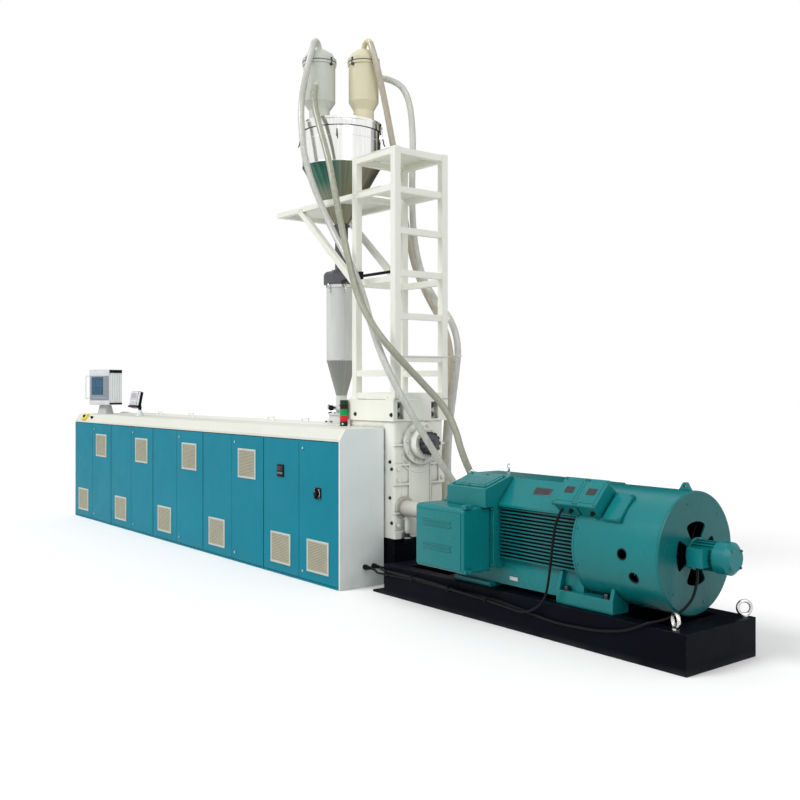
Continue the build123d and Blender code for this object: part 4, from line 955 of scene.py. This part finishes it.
for turn in (-84, -20, 60, 150):
    with moved(bm, on_drum(HOPPER, 2474, 138, turn)):
        add_box(bm, (-14, -10, -52), (14, 6, -14), 3)
        latch = [(0, -6, -30), (0, -16, -14), (0, -18, 6), (0, -12, 20)]
        add_tube(bm, smooth_line(latch), 5.5, 10)
solid("dosing_clamps", bm, "bright_steel")
bm = bmesh.new()
add_box(bm, (-500, -94, 2465), (-450.5, -46, 2545), 4, 3)
add_tube(bm, [(-475, -70, ARM_LEVEL), (-700, 20, ARM_LEVEL), (-866, 86, ARM_LEVEL)], 16, 16)
add_box(bm, (-391, -82, 2492), (72, -60, 2514), 3)
add_box(bm, (-391.5, -90, 2468), (-352, -52, 2542), 4, 3)
bolt_ring(bm, (-500, -70, ARM_LEVEL), BACKWARD, 16, 4, 9, 5, 1)
solid("dosing_arm", bm, "black_plastic bolt_steel")

# Feed throat: flange bolts and the slide gate's knob, then the barrel outlet's bolts
bm = bmesh.new()
bolt_ring(bm, (*HOPPER, 1266), UP, 136, 8, 18, 11, turn=0.2)
bolt_ring(bm, (*HOPPER, 1347), UP, 112, 8, 14, 8, turn=0.4)
add_bolts(bm, (-1078, -907), (92, 218), (1412,), UP, 13, 8)
add_lathe(bm, (-962, 81, 1395), FRONT, [
    (8, 0), (8, 24), (20, 27), (23.5, 34), (23.5, 54), (20, 61), (0, 62)], 28, 1)
solid("throat_bolts", bm, "bolt_steel black_plastic")
bm = bmesh.new()
bolt_ring(bm, (-5860, *SCREW), BACKWARD, 112, 8, 24, 0.9)
add_lathe(bm, (-5859.5, *SCREW), BACKWARD, [
    (62, 0), (86, 0), (85, 2), (64, 2), (62, 0)], 48)
solid("outlet_ring", bm, "bolt_steel")

# Motor: terminal box cover, neck lid and bare plates
SHOULDER_OUT = (0, -0.728, 0.685)
SHOULDER = (-236, 870)
bm = bmesh.new()
add_box(bm, (992, -582.2, 370), (1439, -575.5, 748), 5, 3)
for level in (487, 516, 648, 677):
    add_box(bm, (1058, -586.8, level - 6), (1349, -581, level + 6), 4.5, 3)
for z, low, high in ((790, 776, 806), (366, 352, 380)):
    add_box(bm, (1430, -566, low), (1472, -500, high), 6, 3)
    add_bolt(bm, (1472, -533, z), ALONG, 18, 10)
add_bolts(bm, (985, 1240, 1484), (-335,), (392, 768), FRONT, 18, 10)
solid("terminal_cover", bm, "motor_green_paint")
bm = bmesh.new()
add_box(bm, (-165, -100, -2), (165, 100, 7), 3, 3)
add_box(bm, (-140, -78, 6), (140, 78, 10), 3, 3)
add_bolts(bm, (-152, 0, 152), (-88, 88), (7,), UP, 12, 6)
solid("neck_lid", bm, "motor_green_paint",
      place=framed((1304.5, -290, 942.5), ALONG, (0, -0.313, 0.95)))
bm = bmesh.new()
add_box(bm, (-75, 12, -1), (75, 74, 2.5), 1)
add_box(bm, (-68, 18, 2), (68, 68, 3.4), 0.6, 1, 1)
for x, y in product((-70, 70), (17, 69)):
    add_lathe(bm, (x, y, 2.4), UP, [(2.8, 0), (2.6, 1.2), (1.2, 2), (0, 2)], 12)
solid("shoulder_plate", bm, "dark_steel bolt_steel",
      place=framed((1820, *SHOULDER), ALONG, SHOULDER_OUT))
bm = bmesh.new()
add_box(bm, (1566, -256, 297), (1644, -244, 323), 1)
for x in (1571, 1639):
    add_lathe(bm, (x, -255.8, 310), FRONT, [(3, 0), (2.8, 1.2), (0, 2)], 12, 1)
solid("skirt_plate", bm, "bare_plate bolt_steel")

# Auxiliary boxes: lids, screws, bare plates and glands
for name, low, high in (("1", 2058, 2234), ("2", 2241, 2397)):
    half = (high - low) / 2
    bm = bmesh.new()
    add_box(bm, (-half - 3, -105.5, 86), (half + 2.2, 105.5, 108.5), 4, 3)
    add_box(bm, (-half + 20, -80, 107.5), (half - 20, 80, 111.5), 3, 3)
    add_box(bm, (-36, -20, 111), (36, 30, 112.8), 0.6, 1, 1)
    add_bolts(bm, (-half + 10, half - 10), (-92, 92), (108.3,), UP, 10, 5)
    add_lathe(bm, (half * 0.45, -101, 50), FRONT, [
        (14, 0), (14, 8), (12.5, 10), (12.5, 18), (8, 24), (0, 24)], 20, 2)
    solid(f"auxiliary_lid_{name}", bm, "motor_green_paint bolt_steel black_plastic",
          place=framed(((low + high) / 2, *SHOULDER), ALONG, SHOULDER_OUT))

# Cowl: hatch lid, grommets, joint bands and the fan wheel inside
HATCH_OUT = (0, -0.7193, 0.6947)
HATCH_RADIUS = 372
FAN_BLADES = 12
bm = bmesh.new()
add_box(bm, (-61, -98.5, -2), (61, 98.5, 3.5), 2.5, 3)
add_bolts(bm, (-52, 52), (-89, 89), (3.4,), UP, 10, 5)
solid("hatch_lid", bm, "motor_green_paint",
      place=framed(Vector((2480, *MOTOR)) + Vector(HATCH_OUT) * HATCH_RADIUS, ALONG, HATCH_OUT))
bm = bmesh.new()
for x, degrees in ((2581, 180), (2648, 201)):
    out = across(degrees / 360)
    add_lathe(bm, Vector((x, *MOTOR)) + out * 354, out, [
        (28.5, 0), (35, 0), (35, 6.5), (33, 8.2), (30, 8.2), (27, 6),
        (27, 0)], 32, 1)
for x in (2202, 2805):
    add_lathe(bm, (x, *MOTOR), ALONG, [(359, 0), (362.2, 1), (362.2, 13), (359, 14)], 128)
for step in range(10):
    out = across((step + 0.5) / 10)
    add_bolt(bm, Vector((2232, *MOTOR)) + out * 359.8, out, 11, 4)
bolt_ring(bm, (2829.8, *MOTOR), ALONG, 300, 6, 10, 4, turn=0.26)
solid("cowl_fittings", bm, "motor_green_paint black_plastic")
bm = bmesh.new()
add_lathe(bm, (2660, *MOTOR), ALONG, [
    (0, 0), (300, 0), (300, 6), (85, 10), (80, 130), (0, 130)], 64)
for step in range(FAN_BLADES):
    with moved(bm, framed((2664, *MOTOR), ALONG, across(step / FAN_BLADES))):
        add_box(bm, (4, -4, 70), (110, 4, 295), 1.5, 1)
solid("fan_wheel", bm, "navy_paint")

# Fan motor: joint rings, fins clear of its box, end screws and box lid
FAN_MOTOR_FINS = 18
bm = bmesh.new()
for x, radius in ((2830.5, 94.5), (2845, 79.5), (2970, 79.5)):
    add_lathe(bm, (x, *MOTOR), ALONG, [
        (70, 0), (radius, 0), (radius, 9), (radius - 3, 11), (70, 11)], 48)
for step in range(FAN_MOTOR_FINS):
    out = across((step + 0.5) / FAN_MOTOR_FINS)
    if out.y > -0.65:
        with moved(bm, framed((0, *MOTOR), ALONG, out)):
            add_box(bm, (2857, -2.2, 74), (2969, 2.2, 86.5), 1, 1)
bolt_ring(bm, (2841.5, *MOTOR), ALONG, 87, 8, 10, 5)
bolt_ring(bm, (3091.2, *MOTOR), ALONG, 66, 4, 12, 6, turn=0.7)
add_box(bm, (2866, -145.5, 562), (2970, -137, 670), 2.5, 3)
add_bolts(bm, (2876, 2960), (-145.2,), (572, 660), FRONT, 8, 4, washer=False)
solid("fan_motor_fittings", bm, "motor_green_paint")

# Foot bolts and the cable clips along the base
bm = bmesh.new()
add_bolts(bm, (2085, 2398), (-270, 270), (317,), UP, 36, 22)
for x, low, high in ((380, 150, 203), (690, 167, 207), (1090, 153, 191), (1470, 152, 191)):
    for level in (low, high):
        add_box(bm, (x - 5, -392.5, level - 2), (x + 5, -338, level + 2), 1, 2, 1)
    add_box(bm, (x - 5, -394.5, low - 2), (x + 5, -390.5, high + 2), 1, 2, 1)
solid("base_bolts", bm, "bolt_steel black_plastic")


# Floor, light and white surround
def stage_sheet(name, corners):
    """Flat piece of the stage, and the shader of its material."""
    mesh = bpy.data.meshes.new(name)
    mesh.from_pydata(corners, [], [(0, 1, 2, 3)])
    piece = linked(name, mesh)
    shader = Shader(name)
    mesh.materials.append(LOOKS[name])
    return piece, shader


FLOOR_REACH = 60
FLOOR_GREY = (0.93, 0.93, 0.93, 1)
FLOOR_BOUNCE = (0.62, 0.62, 0.62, 1)
FLOOR_LIFT = 0.1
AMBIENT = 0.55
floor, shader = stage_sheet("floor", [(x * FLOOR_REACH, y * FLOOR_REACH, 0)
                                      for x, y in ((-1, -1), (1, -1), (1, 1), (-1, 1))])
floor.location.z = -0.001
bounced = shader.node("LightPath").outputs["Is Diffuse Ray"]
shader.set(Base_Color=shader.mix(bounced, FLOOR_GREY, FLOOR_BOUNCE), Roughness=0.85, Specular_IOR_Level=0.05)
lift = shader.node("Emission", Strength=shader.remap(bounced, 0, 1, FLOOR_LIFT, 0))
lifted = shader.node("AddShader", shader.principled.outputs[0], lift.outputs[0])
shader.feed(shader.tree.nodes["Material Output"].inputs["Surface"], lifted.outputs[0])


def card(name, low, high, grey, spread):
    """Upright studio card with soft edges that only shows in polished metal."""
    piece, shader = stage_sheet(name, [low, (high[0], high[1], low[2]), high, (low[0], low[1], high[2])])
    for ray in ("camera", "diffuse", "transmission", "volume_scatter", "shadow"):
        setattr(piece, "visible_" + ray, False)
    middle = [(a + b) / 2 for a, b in zip(low, high)]
    offset = shader.vector("SUBTRACT", shader.coords, middle)["Vector"]
    away = shader.vector("LENGTH", shader.vector("MULTIPLY", offset, spread)["Vector"])["Value"]
    shader.set(Base_Color=BLACK, Emission_Color=WHITE, Specular_IOR_Level=0,
               Emission_Strength=shader.remap(away, 0.45, 1, grey, 1))


card("card_rear", (-8.5, 6, -4), (4, 8, 12), 0.03, (0.16, 0, 0.125))
card("card_left", (-9, -4, -2), (-9.5, 5, 10), 0.45, (0, 0.22, 0.167))

world = bpy.data.worlds.new("surround")
scene.world = world
world.use_nodes = True
world.node_tree.nodes.clear()
sky = Nodes(world.node_tree)
rays = sky.node("LightPath").outputs
shown = sky.either(sky.either(rays["Is Camera Ray"], rays["Is Glossy Ray"]), rays["Is Transmission Ray"])
ambient = sky.node("Background", WHITE, AMBIENT)
backdrop = sky.node("Background", WHITE, 1)
blend = sky.node("MixShader", shown, ambient.outputs[0], backdrop.outputs[0])
sky.node("OutputWorld", blend.outputs[0])


def sun(name, toward, strength, spread):
    """Soft distant light that shines along a direction."""
    data = bpy.data.lights.new(name, "SUN")
    data.energy = strength
    data.angle = math.radians(spread)
    linked(name, data).rotation_euler = Vector(toward).to_track_quat("-Z", "Y").to_euler()


sun("key", (0.25, 0.7, -0.66), 1.55, 25)
sun("side", (-0.8, 0.25, -0.55), 0.9, 40)
